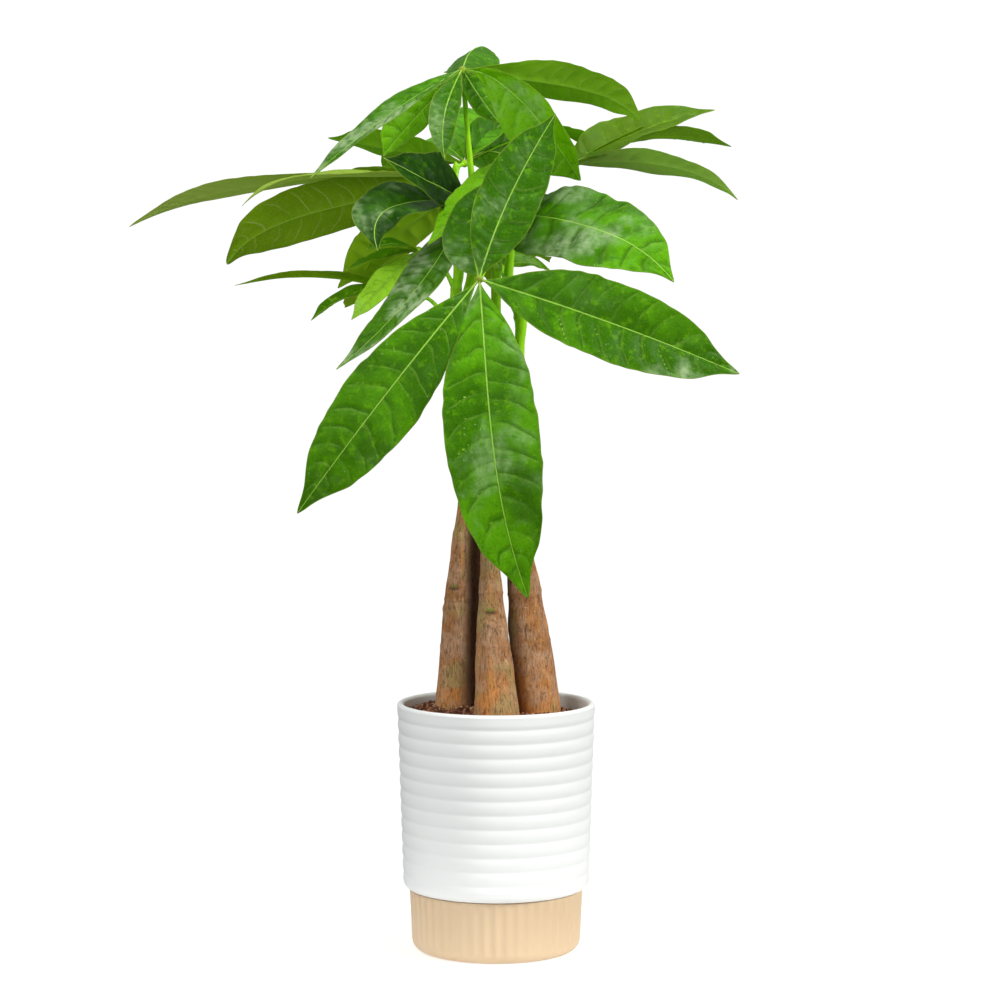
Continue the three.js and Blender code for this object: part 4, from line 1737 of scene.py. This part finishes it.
@dataclass
class Pot:
    """White pot shell with shallow grooves between soft rings."""

    node: str = "pot_shell"
    top: float = 160.0
    rim_radius: float = 63.5
    foot_radius: float = 59.6
    wall: float = 4.4  # at the lip
    corner: float = 5.7
    shoulder: float = 39.9
    spigot_radius: float = 51.2
    spigot_edge: float = 0.6  # rounding of the spigot's lower edge
    spigot_drop: float = 7.0
    floor_thick: float = 3.2
    ring_top: float = 150.4
    ring_pitch: float = 9.05
    ring_count: int = 12
    groove_depth: float = 0.6
    sides: int = 144
    ring_points: int = 15
    drains: int = 5
    drain_radius: float = 3.5
    drain_circle: float = 28.0
    drain_turn: float = 0.3
    drain_sides: int = 24

    def outer(self, z: float) -> float:
        """Radius of the wall before its grooves."""
        share = (z - self.shoulder) / (self.top - self.shoulder)
        return self.foot_radius + (self.rim_radius - self.foot_radius) * share

    def inner(self, z: float) -> float:
        """Radius of the inside of the wall."""
        return self.outer(z) - (self.wall - 1 + (z - 45) / (self.top - 45))

    def grooved(self, z: float) -> float:
        """Radius of the ringed outside.

        Args:
            z: Height.

        Returns:
            The radius there.
        """
        lowest = self.ring_top - (self.ring_count - 1) * self.ring_pitch
        phase = (z - lowest) / self.ring_pitch
        near = abs(phase - round(phase)) * 2
        if phase > self.ring_count - 1 and near > 0:
            near = min(1.0, (z - self.ring_top) / (self.ring_pitch * 0.4))
        if phase < 0:
            near = min(1.0, -phase * 2)
        soft = math.sqrt(near * near + 0.01) - 0.1 + 0.1 * near
        return self.outer(z) - self.groove_depth * max(0.0, 1 - soft) ** 2.1

    def profile(self) -> np.ndarray:
        """Closed half section, from under the floor round the wall to the floor inside.

        Returns:
            Rows of radius and height.
        """
        under = self.shoulder - self.spigot_drop
        floor = under + self.floor_thick
        spigot, edge = self.spigot_radius, self.spigot_edge
        rows = [[0, under], [spigot * 0.5, under], [spigot - edge, under]]
        rows += arc((spigot - edge, under + edge), edge, -90, 0, 5) + [[spigot, self.shoulder - 0.01]]
        rows += arc((self.foot_radius - self.corner, self.shoulder + self.corner), self.corner, -90, 0, 14)
        lip = self.wall / 2
        count = self.ring_points * self.ring_count
        for z in np.linspace(self.shoulder + self.corner + 0.6, self.top - lip, count):
            rows.append([self.grooved(float(z)), float(z)])
        rows += arc((self.rim_radius - lip, self.top - lip), lip, 8, 180, 18)
        for z in np.linspace(self.top - lip - 1, 50, 16):
            rows.append([self.inner(float(z)), float(z)])
        rows += [[spigot - 3, floor + 7]] + arc((spigot - 8, floor + 5), 5, 0, -90, 8) + [[0, floor]]
        return np.array(rows, float)

    def drain_plugs(self) -> bpy.types.Object:
        """Plugs that cut the drain holes through the floor.

        Returns:
            The plugs as one object.
        """
        points: list[list[float]] = []
        faces: list[list[int]] = []
        count, under, r = self.drain_sides, self.shoulder - self.spigot_drop, self.drain_radius
        for k in range(self.drains):
            turn = k / self.drains * 2 * math.pi + self.drain_turn
            x, y = self.drain_circle * math.cos(turn), self.drain_circle * math.sin(turn)
            base = len(points)
            for z in (under - 3, under + 8):
                for j in range(count):
                    a = j / count * 2 * math.pi
                    points.append([x + r * math.cos(a), y + r * math.sin(a), z])
            faces += band_faces(range(1), count, base)
            faces.append([base + j for j in reversed(range(count))])
            faces.append([base + count + j for j in range(count)])
        return mesh_object("drain_plugs", np.array(points), faces)

    def make(self) -> None:
        """Turn the shell and drill its drain holes."""
        piece = TURNER.make(f"fine_{self.node}", self.profile(), self.sides, WHITE_PLASTIC)
        plugs = self.drain_plugs()
        cut = piece.modifiers.new("drill", "BOOLEAN")
        cut.operation, cut.solver, cut.object = "DIFFERENCE", "EXACT", plugs
        bpy.context.view_layer.update()
        depsgraph = bpy.context.evaluated_depsgraph_get()
        drilled = bpy.data.meshes.new_from_object(piece.evaluated_get(depsgraph), depsgraph=depsgraph)
        piece.modifiers.clear()
        piece.data = drilled
        bpy.data.objects.remove(plugs)
        settle(piece, WHITE_PLASTIC.slot, self.node)


@dataclass
class BaseCup:
    """Tan base with upright flutes that fade out at its rounded foot."""

    node: str = "base_cup"
    top: float = 39.6
    top_radius: float = 55.6
    low_radius: float = 54.2
    corner: float = 7.6
    wall: float = 2.9
    floor_thick: float = 3.0
    flutes: int = 48
    flute_depth: float = 0.95
    flute_start: float = 1.2  # height at which the flutes begin
    flute_rise: float = 7.5  # over which they reach their full depth
    sides_per_flute: int = 8
    wall_rows: int = 16

    def outer(self, z: float) -> float:
        """Radius of the wall before its flutes."""
        widening = self.top_radius - self.low_radius
        return self.low_radius + widening * (z - self.corner) / (self.top - self.corner)

    def outside(self) -> list[list[float]]:
        """Half section from under the floor to the outer edge of the rim.

        Returns:
            Rows of radius and height.
        """
        foot = self.low_radius - self.corner
        rows = [[0, 0], [30, 0], [foot, 0]] + arc((foot, self.corner), self.corner, -84, 0, self.wall_rows)
        rows += [[self.outer(z), z] for z in np.linspace(self.corner + 0.8, self.top - 0.6, self.wall_rows)]
        return rows + [[self.top_radius - 0.15, self.top - 0.2], [self.top_radius - 0.5, self.top]]

    def inside(self) -> list[list[float]]:
        """Half section from the inner edge of the rim to the floor.

        Returns:
            Rows of radius and height.
        """
        inner = self.top_radius - self.wall
        rows = [[inner + 0.4, self.top], [inner, self.top - 0.4], [inner - 0.6, 26], [self.low_radius - 4, 8]]
        return rows + arc((self.low_radius - 8, 7), 4, -8, -90, 7) + [[0, self.floor_thick]]

    def make(self) -> None:
        """Turn the cup with its flutes."""
        outside, inside = self.outside(), self.inside()
        profile = np.array(outside + inside, float)
        fade = np.clip((profile[:, 1] - self.flute_start) / self.flute_rise, 0, 1)
        fluted = np.where(np.arange(len(profile)) < len(outside), fade * fade * (3 - 2 * fade), 0)
        sides = self.flutes * self.sides_per_flute
        piece = TURNER.make(
            f"fine_{self.node}", profile, sides, TAN_PLASTIC, fluted, self.flutes, self.flute_depth
        )
        settle(piece, TAN_PLASTIC.slot, self.node)


@dataclass
class SoilBed:
    """Potting soil with a lumpy top, higher at the left, strewn with crumbs."""

    pot: Pot
    node: str = "soil"
    left_z: float = 156.6
    right_z: float = 152.0
    lump: float = 1.1
    dome_reach: tuple[float, ...] = (0, 0.45, 0.8, 0.99, 1)
    dome_height: tuple[float, ...] = (153.5, 154, 153, 151, 150.8)
    dome_level: float = 153.0  # height in the dome that lies at left_z and right_z
    floor: float = 36.4
    rings: int = 74
    bare_rings: int = 3  # rings at the wall without crumbs
    around: int = 190
    crumbs: float = 90000.0  # crumbs on a square metre
    crumb_sizes: tuple[float, float] = (0.4, 2.3)
    seed: int = 11
    crumb_seed: int = 7

    def surface(self) -> tuple[np.ndarray, np.ndarray]:
        """Top of the soil as rings of points, from the wall to the middle.

        Returns:
            The points and how crumbly each one is.
        """
        clouds = Clouds(self.seed)
        reach = self.pot.inner(self.right_z) - 0.25
        share = np.linspace(1, 0.012, self.rings) ** 0.8
        turn = np.linspace(0, 2 * math.pi, self.around, endpoint=False)
        s, a = np.repeat(share, self.around), np.tile(turn, self.rings)
        x, y = s * reach * np.cos(a), s * reach * np.sin(a)
        z = np.interp(s, self.dome_reach, self.dome_height)
        z += self.left_z + (self.right_z - self.left_z) * (x / reach + 1) / 2 - self.dome_level
        z += self.lump * np.sin(x * 0.21 + y * 0.13) * np.cos(y * 0.17 - x * 0.05)
        points = np.stack([x, y, z], axis=1)
        rough = 0.9 * clouds.at(points, 4.2) + 0.55 * clouds.at(points, 2.1) + 0.3 * clouds.at(points, 1.1)
        points[:, 2] += rough
        return points, 0.25 + 0.3 * clouds.at(points, 5)

    def bed(self) -> bpy.types.Object:
        """Closed body of soil.

        Returns:
            The body.
        """
        top, crumb = self.surface()
        n, wall, spigot = self.around, self.pot.inner, self.pot.spigot_radius
        turn = np.linspace(0, 2 * math.pi, n, endpoint=False)
        sides = [(spigot - 8.4, self.floor), (spigot - 4.6, 42.0)]
        sides += [(wall(z) - 0.4, z) for z in (52.0, 100.0)]
        rows = [np.stack([r * np.cos(turn), r * np.sin(turn), np.full(n, z)], axis=1) for r, z in sides]
        points = np.vstack(rows + [top])
        count = len(rows) + self.rings
        faces = band_faces(range(count - 1), n)
        faces += end_faces(n, (count - 1) * n, low=len(points), high=len(points) + 1)
        points = np.vstack([points, [0, 0, self.floor], points[-n:].mean(axis=0)])
        crumbly = np.concatenate([np.zeros(len(rows) * n), crumb, [0, 0]])
        return coated(mesh_object(f"fine_{self.node}", points, faces, {"crumb": crumbly}), SOIL)

    def strewing_tree(self) -> bpy.types.NodeTree:
        """Write the tree that strews crumbs on a patch of soil.

        Returns:
            The tree.
        """
        kit = GeometryKit(
            "crumbs", Float=("Density", "Smallest", "Largest"), Int=("Seed",), Material=("Finish",)
        )
        seed = kit.given("Seed")
        spots = kit.node(
            "GeometryNodeDistributePointsOnFaces",
            {0: kit.entry.outputs["Geometry"], "Density": kit.given("Density"), "Seed": seed},
            distribute_method="RANDOM",
        )
        lump = kit.node("GeometryNodeMeshIcoSphere", {"Radius": 1.0, "Subdivisions": 1})
        spin = kit.node(
            "FunctionNodeRandomValue",
            {"Min": (0, 0, 0), "Max": (FULL_TURN,) * 3, "Seed": seed},
            data_type="FLOAT_VECTOR",
        )
        low, high = kit.given("Smallest"), kit.given("Largest")
        girth = kit.node(
            "FunctionNodeRandomValue",
            {"Min": kit.combine(low, low, low * 0.5), "Max": kit.combine(high, high, high * 0.55)},
            data_type="FLOAT_VECTOR",
        )
        kit.feed(girth.inputs["Seed"], self.crumb_seed)
        strewn = kit.node(
            "GeometryNodeInstanceOnPoints",
            {"Points": spots.outputs[0], "Instance": lump.outputs[0], "Rotation": spin.outputs[0]},
        )
        kit.feed(strewn.inputs["Scale"], girth.outputs[0])
        shade = kit.node("FunctionNodeRandomValue", data_type="FLOAT")
        shade_output = next(o for o in shade.outputs if o.enabled)
        marked = kit.kept(strewn.outputs[0], "crumb", shade_output, "INSTANCE")
        return kit.finish(marked, kit.given("Finish"))

    def crumb_layer(self) -> bpy.types.Object:
        """Crumbs over the soil's top, clear of the lip.

        Returns:
            The crumbs.
        """
        top, _ = self.surface()
        faces = band_faces(range(self.bare_rings, self.rings - 1), self.around)
        patch = mesh_object("crumb_patch", top, faces)
        smallest, largest = self.crumb_sizes
        inputs = {
            "Density": self.crumbs,
            "Smallest": smallest * MM,
            "Largest": largest * MM,
            "Seed": self.seed,
            "Finish": finish_material(SOIL),
        }
        return grown(patch, self.strewing_tree(), inputs)

    def make(self) -> None:
        """Join the bed and its crumbs."""
        settle(joined(f"fine_{self.node}", [self.bed(), self.crumb_layer()]), SOIL.slot, self.node)


# ---- the plant
TRUNKS = (
    Trunk("trunk_left", (
        (-29, 6, 92, 12.2), (-29, 6, 125, 12.6), (-28.4, 6, 153, 11.6), (-27.4, 6, 178, 9.8),
        (-26, 6, 204, 9.1), (-24.6, 6, 226, 8.6), (-22.4, 6, 255, 6.9), (-19.6, 5, 286, 5.2),
        (-17.4, 4, 312, 4.4),
    ), (
        BarkMark(Mark.SCAR, 234, -22), BarkMark(Mark.CHIP, 220, -88, 1.2, 2.4),
        BarkMark(Mark.SCAR, 204, 150), BarkMark(Mark.CHIP, 244, -14, 2.4, 1.6),
        BarkMark(Mark.SCAR, 268, 75, 2.6, 1.2),
    ), seed=21),
    Trunk("trunk_front", (
        (1, -27, 92, 14.2), (0.6, -27, 126, 15), (0, -26, 154, 14.4), (-1.4, -25, 182, 12.4),
        (-2.4, -24, 208, 10.3), (-3.2, -22, 232, 7.8), (-3.8, -20.5, 250, 6.2), (-3.4, -18.5, 276, 5.2),
        (-2, -17, 302, 4.3),
    ), (
        BarkMark(Mark.SCAR, 222, -3, 4.6, 1.9), BarkMark(Mark.CHIP, 187, 14, 1.3, 1.8),
        BarkMark(Mark.CHIP, 214, -14, 2.2, 1.4), BarkMark(Mark.SCAR, 262, 95, 2.6, 1.2),
    ), seed=22),
    Trunk("trunk_right", (
        (29, 1, 92, 13.6), (28.2, 1, 126, 14.6), (26.8, 1, 154, 14.3), (24, 0, 180, 13.9),
        (20.7, 0, 206, 13), (18.4, -1, 230, 10.5), (15.6, -2, 252, 8.4), (12, -3, 280, 6.6),
        (10, -3, 306, 5.6),
    ), (
        BarkMark(Mark.CHIP, 223, -52, 1.2, 1.8), BarkMark(Mark.SCAR, 232, 110),
        BarkMark(Mark.SCAR, 196, 190), BarkMark(Mark.CHIP, 170, -20, 1.6, 1.2),
    ), seed=23),
    Trunk("trunk_back", (
        (-3.4, 33, 92, 11), (-5.8, 33, 126, 12.6), (-6.6, 32, 154, 12.1), (-8, 30, 182, 10.9),
        (-8.9, 27, 208, 9.6), (-9.4, 24, 232, 8.3), (-10, 21, 256, 7), (-9.8, 19, 280, 5.6),
        (-9, 18, 298, 4.4),
    ), (
        BarkMark(Mark.SCAR, 216, 178), BarkMark(Mark.SCAR, 186, 130),
        BarkMark(Mark.CHIP, 240, -160, 1.4, 1.8),
    ), seed=24, extra_inner_shade=0.7),
)

SHOOTS = (
    Shoot("shoot_left", (
        (-17.3, 3.9, 312.6, 3.9), (-19.5, 2, 350, 3.2), (-22, 0, 405, 3.1), (-15, -2, 434, 3.4),
        (-13, -6, 462, 2.6), (-15, -10, 492, 2),
    ), (352.0, 407.0, 436.0, 470.0)),
    Shoot("shoot_front", (
        (-1.9, -16.9, 302.6, 3.8), (1.5, -16, 350, 3.1), (0.3, -14, 400, 3), (0.3, -16, 436, 3.2),
        (3, -21, 458, 2.2),
    ), (346.0, 402.0, 438.0)),
    Shoot("shoot_right", (
        (10.1, -3, 307, 5), (14, -2, 350, 3.8), (15, -1, 388, 3.2), (15.4, -1, 407, 4), (8.5, 3, 424, 3.1),
        (9, 6, 448, 2.9), (12, 10, 478, 2.2),
    ), (344.0, 407.0, 425.0, 452.0, 462.0)),
    Shoot("shoot_back", (
        (-9, 17.9, 298.6, 3.9), (-17, 18, 350, 3.3), (-27, 16, 410, 3.1), (-24, 20, 436, 3.4),
        (-27, 26, 470, 2.8), (-26, 34, 506, 2.1),
    ), (348.0, 402.0, 424.0, 446.0, 478.0)),
)

LEAVES = (
    CompoundLeaf("leaf_front", (0.3, -16, 438), (-2, -56, 446), (-10, -100, 432), GLOSSY_GREEN, 3, (
        Leaflet(
            (-64, -126, 366), (-120, -115, 291), 49, (0, -1, 0.2), -5,
            belly=1.1, taper=0.12, tone=-0.45, painted_sheen=0.1,
        ),
        Leaflet(
            (-2.2, -128, 337), (19.5, -118, 240), 58.5, (0.04, -1, 0.1), 7, (-5, 0, 0),
            belly=0.92, fullness=0.62, tone=0.0, painted_sheen=0.5,
        ),
        Leaflet(
            (69, -112, 406), (149, -82, 374), 52, (0.05, -0.97, 0.3), 8,
            belly=0.92, taper=0.12, tone=-0.5, painted_sheen=0.1, tip_sheen=1.6,
        ),
        Leaflet(
            (8, -84, 481), (36.7, -64, 533), 40, (0.05, -1, 0.1), 9,
            tone=-1.7, painted_sheen=0.6, tip_sheen=-0.5,
        ),
        Leaflet(
            (-15, -76, 467), (-7.4, -60, 491.6), 37, (-0.2, -0.95, 0.1), 10,
            belly=0.6, taper=0.05, fullness=1.2, tone=-0.7, painted_sheen=0.7,
        ),
    )),
    CompoundLeaf("leaf_top", (-15, -10, 491), (-18, -12, 524), (-21, -20, 562), GLOSSY_GREEN, 4, (
        Leaflet(
            (-66, -44, 533.5), (-115, -60, 493), 27, (-0.5, -0.5, 0.75), 10,
            belly=0.8, tone=-0.4, painted_sheen=1.0,
        ),
        Leaflet(
            (-50, -14, 533), (-71, -16, 508), 32, (-0.4, -0.8, 0.45), 20,
            belly=1.05, tone=1.0, painted_sheen=0.4,
        ),
        Leaflet((-31.5, -58, 533), (-31, -78, 505), 20, (-0.1, -0.95, 0.3), 20, tone=-0.9, painted_sheen=0.4),
        Leaflet(
            (21.2, -38, 536), (52.7, -44, 492.5), 47, (-0.34, -0.87, -0.36), 30, (2, 0, -12),
            belly=1.25, taper=0.2, tone=0.9, painted_sheen=1.0,
        ),
        Leaflet(
            (41, 8, 554), (92, 16, 532), 35, (0.1, 0.65, 0.75), 10, (8, 0, 6),
            fullness=0.56, tone=-0.2, painted_sheen=0,
        ),
        Leaflet((-16, 20, 576), (-7, 46, 580), 42, (-0.15, -0.25, 1), -30, belly=0.8, tone=-0.6, painted_sheen=0),
        Leaflet((-9.1, -26, 543.5), (2, -28, 528.6), 24, (0.5, -0.8, 0.4), 8, tone=-0.6, painted_sheen=0.5),
    ), stalk_radius=1.6),
    CompoundLeaf("leaf_crown", (-26, 34, 499), (-24, 39, 503), (-20, 45, 505), GLOSSY_GREEN, 5, (
        Leaflet((-64, 62, 514), (-110, 72, 522), 40, (-0.05, 0.45, 0.9), 10, tone=-0.2, painted_sheen=0),
        Leaflet((-3, 60, 513), (18, 72, 503), 48, (0, -0.95, 0.3), 10, tone=-0.5, painted_sheen=0),
        Leaflet((-7, 78, 534), (0, 122, 534), 42, (0, -0.5, 0.8), 8),
        Leaflet((-48, 102, 520), (-76, 152, 494), 42, (-0.3, 0.3, 1), 12),
        Leaflet((32, 92, 526), (72, 126, 509), 42, (0.3, 0.2, 1), 12),
    )),
    CompoundLeaf("leaf_right", (12, 10, 476), (26, 18, 494), (49, 25, 504), GLOSSY_GREEN, 6, (
        Leaflet(
            (94, 44, 526), (142, 58, 540), 46, (-0.25, -0.45, 0.9), 14,
            belly=0.72, taper=0.05, tone=-0.9, painted_sheen=0, warmth=0.45,
        ),
        Leaflet((99, 64, 522), (155, 88, 517), 32, (-0.1, 0.3, 0.95), 12, tone=0.3, warmth=0.5),
        Leaflet((102, 16, 504), (153, -2, 481), 30, (0.1, 0.45, 0.85), 6, (8, 0, 4), tone=1.5, warmth=0.1),
        Leaflet((3.5, -42, 492), (-42, -79, 452), 38, (-0.25, -0.72, 0.65), 4, tone=1.1, painted_sheen=0),
        Leaflet((54, 74, 516), (50, 128, 512), 36, (0, -0.1, 1), 12),
    )),
    CompoundLeaf("leaf_middle", (10, 8, 462), (11, 3, 467), (10, -5, 471), GLOSSY_GREEN, 7, (
        Leaflet(
            (60, -46, 463.5), (109, -76, 430), 66, (0.25, -0.9, 0.5), -3, (9, 0, 3),
            belly=0.68, taper=0.02, fullness=0.76, tone=0.05, painted_sheen=1.0, tip_sheen=-1.1,
        ),
        Leaflet((46, 36, 468), (80, 72, 450), 36, (0.1, 0.1, 1), 12),
    )),
    CompoundLeaf("leaf_dark", (-14, -7, 470), (-16, -15, 477), (-19, -22, 481), DEEP_GREEN, 8, (
        Leaflet(
            (-39, -50, 490.5), (-69, -70, 506), 50, (-0.1, -0.8, 0.6), 10,
            belly=0.6, taper=0.04, tone=-0.6, painted_sheen=0.1,
        ),
        Leaflet((-59, -60, 477.5), (-72, -84, 449), 44, (-0.2, -0.7, 0.7), 12, (-12, 0, 8), painted_sheen=0.9),
        Leaflet(
            (-47, -72, 428), (-97, -92, 377), 35, (-0.55, -0.65, 0.5), 8,
            belly=0.76, tone=0.5, painted_sheen=1.4,
        ),
    )),
    CompoundLeaf("leaf_long", (-27, 28, 478), (-31, 29, 490), (-38, 30, 499), OLIVE_GREEN, 9, (
        Leaflet(
            (-133, 46, 493), (-238, 48, 464), 28, (-0.05, 0.35, 0.95), 10, (-16, 0, 8),
            belly=1.7, taper=0.2, tone=1.1,
        ),
        Leaflet((-103, 8, 496), (-161, 0, 477), 24, (-0.1, -0.1, 1), 14, (-12, 0, 10), painted_sheen=0.9, tone=1.4),
        Leaflet(
            (-107, 24, 476), (-172, 14, 440), 42, (-0.1, 0.8, 0.55), 6, (-20, 0, 12),
            belly=1.05, fullness=0.55, tone=-0.4,
        ),
        Leaflet((-98, 88, 490), (-142, 130, 462), 42, (-0.2, 0.4, 1), 12),
    )),
    CompoundLeaf("leaf_pale", (-25, 22, 446), (-28, 38, 470), (-32, 58, 482), YOUNG_GREEN, 10, (
        Leaflet((-68, 68, 457), (-104, 72, 424), 44, (-0.45, 0.75, 0.5), 6, belly=0.85, tone=0.4),
        Leaflet((-62, 106, 470), (-80, 142, 438), 40, (-0.3, 0.5, 0.8), 12),
        Leaflet((-10, 106, 470), (4, 146, 438), 40, (0.2, 0.6, 0.8), 12),
    )),
    CompoundLeaf("leaf_young", (-26, 17, 424), (-36, 27, 442), (-50, 32, 449), YOUNG_GREEN, 11, (
        Leaflet((-71, 12, 428), (-92, 2, 405), 24, (-0.5, -0.8, 0.5), 6, tone=1.2, painted_sheen=0.6),
        Leaflet((-66, 16, 453), (-83, 6, 449), 16, (-0.1, -0.5, 0.9), 10, tone=-0.9),
        Leaflet((-73, 26, 445), (-97, 24, 436), 18, (-0.3, -0.3, 0.9), 12, tone=-0.5),
        Leaflet((-66, 56, 446), (-88, 76, 426), 22, (-0.4, 0.5, 0.8), 12),
    )),
    CompoundLeaf("leaf_sprig", (-26, 16, 402), (-44, 26, 418), (-66, 34, 423), YOUNG_GREEN, 12, (
        Leaflet((-116, 44, 432), (-170, 50, 426), 18, (-0.05, 0.3, 1), 14, belly=0.7, tone=-0.6),
        Leaflet((-94, 30, 420), (-119, 24, 404), 22, (-0.3, -0.3, 0.9), 14, tone=-0.4),
        Leaflet((-84, 62, 418), (-100, 84, 411), 24, (-0.4, 0.4, 0.9), 12),
    )),
    CompoundLeaf("leaf_low", (8.5, 3, 424), (5, 8, 432), (3, 14, 438), YOUNG_GREEN, 13, (
        Leaflet((20, 26, 441), (37, 34, 434), 22, (0.05, -0.4, 0.9), 10, painted_sheen=0.6),
        Leaflet((20, 48, 446), (35, 72, 441), 24, (0.1, -0.3, 1), 10),
        Leaflet((0, 52, 440), (-4, 82, 426), 26, (0, 0.3, 1), 12),
    )),
    CompoundLeaf("leaf_back", (9.5, 7, 452), (24, 44, 472), (40, 84, 478), DEEP_GREEN, 14, (
        Leaflet((80, 108, 468), (102, 128, 440), 40, (0.4, 0.2, 1), 10),
        Leaflet((64, 134, 466), (70, 174, 446), 40, (0.2, 0.3, 1), 10),
        Leaflet((36, 138, 482), (26, 190, 452), 42, (-0.1, 0.5, 1), 10),
        Leaflet((4, 118, 470), (-26, 160, 448), 38, (-0.2, 0.4, 1), 12),
    )),
)


# ---- studio
@dataclass
class Softbox:
    """A square soft light aimed at a point, in metres."""

    name: str
    place: Triple
    aim: Triple
    side: float
    power: float
    colour: Triple = (1.0, 1.0, 1.0)

    def make(self) -> None:
        """Hang the light."""
        lamp = bpy.data.lights.new(self.name, "AREA")
        lamp.shape, lamp.size, lamp.energy, lamp.color = "SQUARE", self.side, self.power, self.colour
        held = bpy.data.objects.new(self.name, lamp)
        held.location = self.place
        held.rotation_euler = (Vector(self.aim) - Vector(self.place)).to_track_quat("-Z", "Y").to_euler()
        bpy.context.scene.collection.objects.link(held)


@dataclass
class Studio:
    """White floor, soft lights and the camera of the photograph's view."""

    camera_place: Triple = (2.51 * MM, -2123.6 * MM, 457.7 * MM)
    camera_tilt: float = 4.515  # degrees below the horizon
    lens: float = 120.05
    sensor: float = 36.0
    view_range: tuple[float, float] = (0.05, 50.0)
    floor_radius: float = 0.15
    floor_sides: int = 96
    floor_colour: Colour = paint(196, 196, 196)
    floor_glow: float = 0.57
    sky_side: Triple = (0.2, 0.7, 0.5)  # the way to the bright side of the surroundings
    sky_turn: tuple[float, float] = (-0.5, 0.8)  # cosines of the angle to it, dimmest and brightest
    sky_dim: float = 0.16
    sky_bright: float = 0.5
    sky_white: float = 1.04

    def floor(self) -> None:
        """Round white floor."""
        sides, radius = self.floor_sides, self.floor_radius / MM
        turn = np.linspace(0, 2 * math.pi, sides, endpoint=False)
        rim = np.stack([radius * np.cos(turn), radius * np.sin(turn), np.zeros(sides)], axis=1)
        floor = mesh_object("studio_floor", rim, [list(range(sides))])
        floor.data.materials.append(FloorFinish(self.floor_colour, self.floor_glow).material())

    def lights(self) -> None:
        """Warm key light at the upper right, weaker ones at the left and low in front, and one above."""
        aim = (0.0, 0.0, 0.3)
        Softbox("key_light", (2.05, -0.85, 1.4), aim, side=0.8, power=50.0, colour=(1.0, 0.99, 0.96)).make()
        Softbox("fill_light", (-1.3, -1.6, 1.8), aim, side=1.1, power=36.0).make()
        Softbox("low_light", (-0.4, -2.4, 0.4), aim, side=1.2, power=14.0).make()
        Softbox("top_light", (0.1, 0.1, 2.3), aim, side=1.0, power=24.0).make()

    def world(self) -> None:
        """Surroundings white to the eye, and as light dimmer in front of the plant than behind it."""
        world = bpy.data.worlds.new("studio_world")
        world.use_nodes = True
        kit = NodeKit(world.node_tree)
        ways = kit.node("ShaderNodeTexCoord")
        lit_from = tuple(Vector(self.sky_side).normalized())
        facing = kit.node(
            "ShaderNodeVectorMath", {0: ways.outputs["Generated"], 1: lit_from}, operation="DOT_PRODUCT"
        )
        light = kit.step(Term(kit, facing.outputs["Value"]), *self.sky_turn, self.sky_dim, self.sky_bright)
        seen = Term(kit, kit.node("ShaderNodeLightPath").outputs["Is Camera Ray"])
        strength = kit.math("MAXIMUM", light, seen * self.sky_white)
        background = world.node_tree.nodes["Background"]
        background.inputs["Color"].default_value = WHITE
        kit.feed(background.inputs["Strength"], strength)
        bpy.context.scene.world = world

    def camera(self) -> None:
        """Camera at the photograph's viewing angle."""
        data = bpy.data.cameras.new("camera")
        data.lens, data.sensor_width, data.sensor_fit = self.lens, self.sensor, "HORIZONTAL"
        data.clip_start, data.clip_end = self.view_range
        eye = bpy.data.objects.new("camera", data)
        eye.location = self.camera_place
        eye.rotation_euler = (math.radians(90 - self.camera_tilt), 0, 0)
        bpy.context.scene.collection.objects.link(eye)
        bpy.context.scene.camera = eye

    def make(self) -> None:
        """Set the studio up and show colours as they are."""
        self.camera()
        self.floor()
        self.lights()
        self.world()
        bpy.context.scene.view_settings.view_transform = "Standard"


def main() -> None:
    """Load the frame and dress it."""
    logging.basicConfig(level=logging.INFO, format="%(name)s: %(message)s", stream=sys.stdout)
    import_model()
    pot = Pot()
    for sub_assembly in (Studio(), pot, BaseCup(), SoilBed(pot), *TRUNKS, *SHOOTS, *LEAVES):
        sub_assembly.make()


if __name__ == "__main__":
    main()
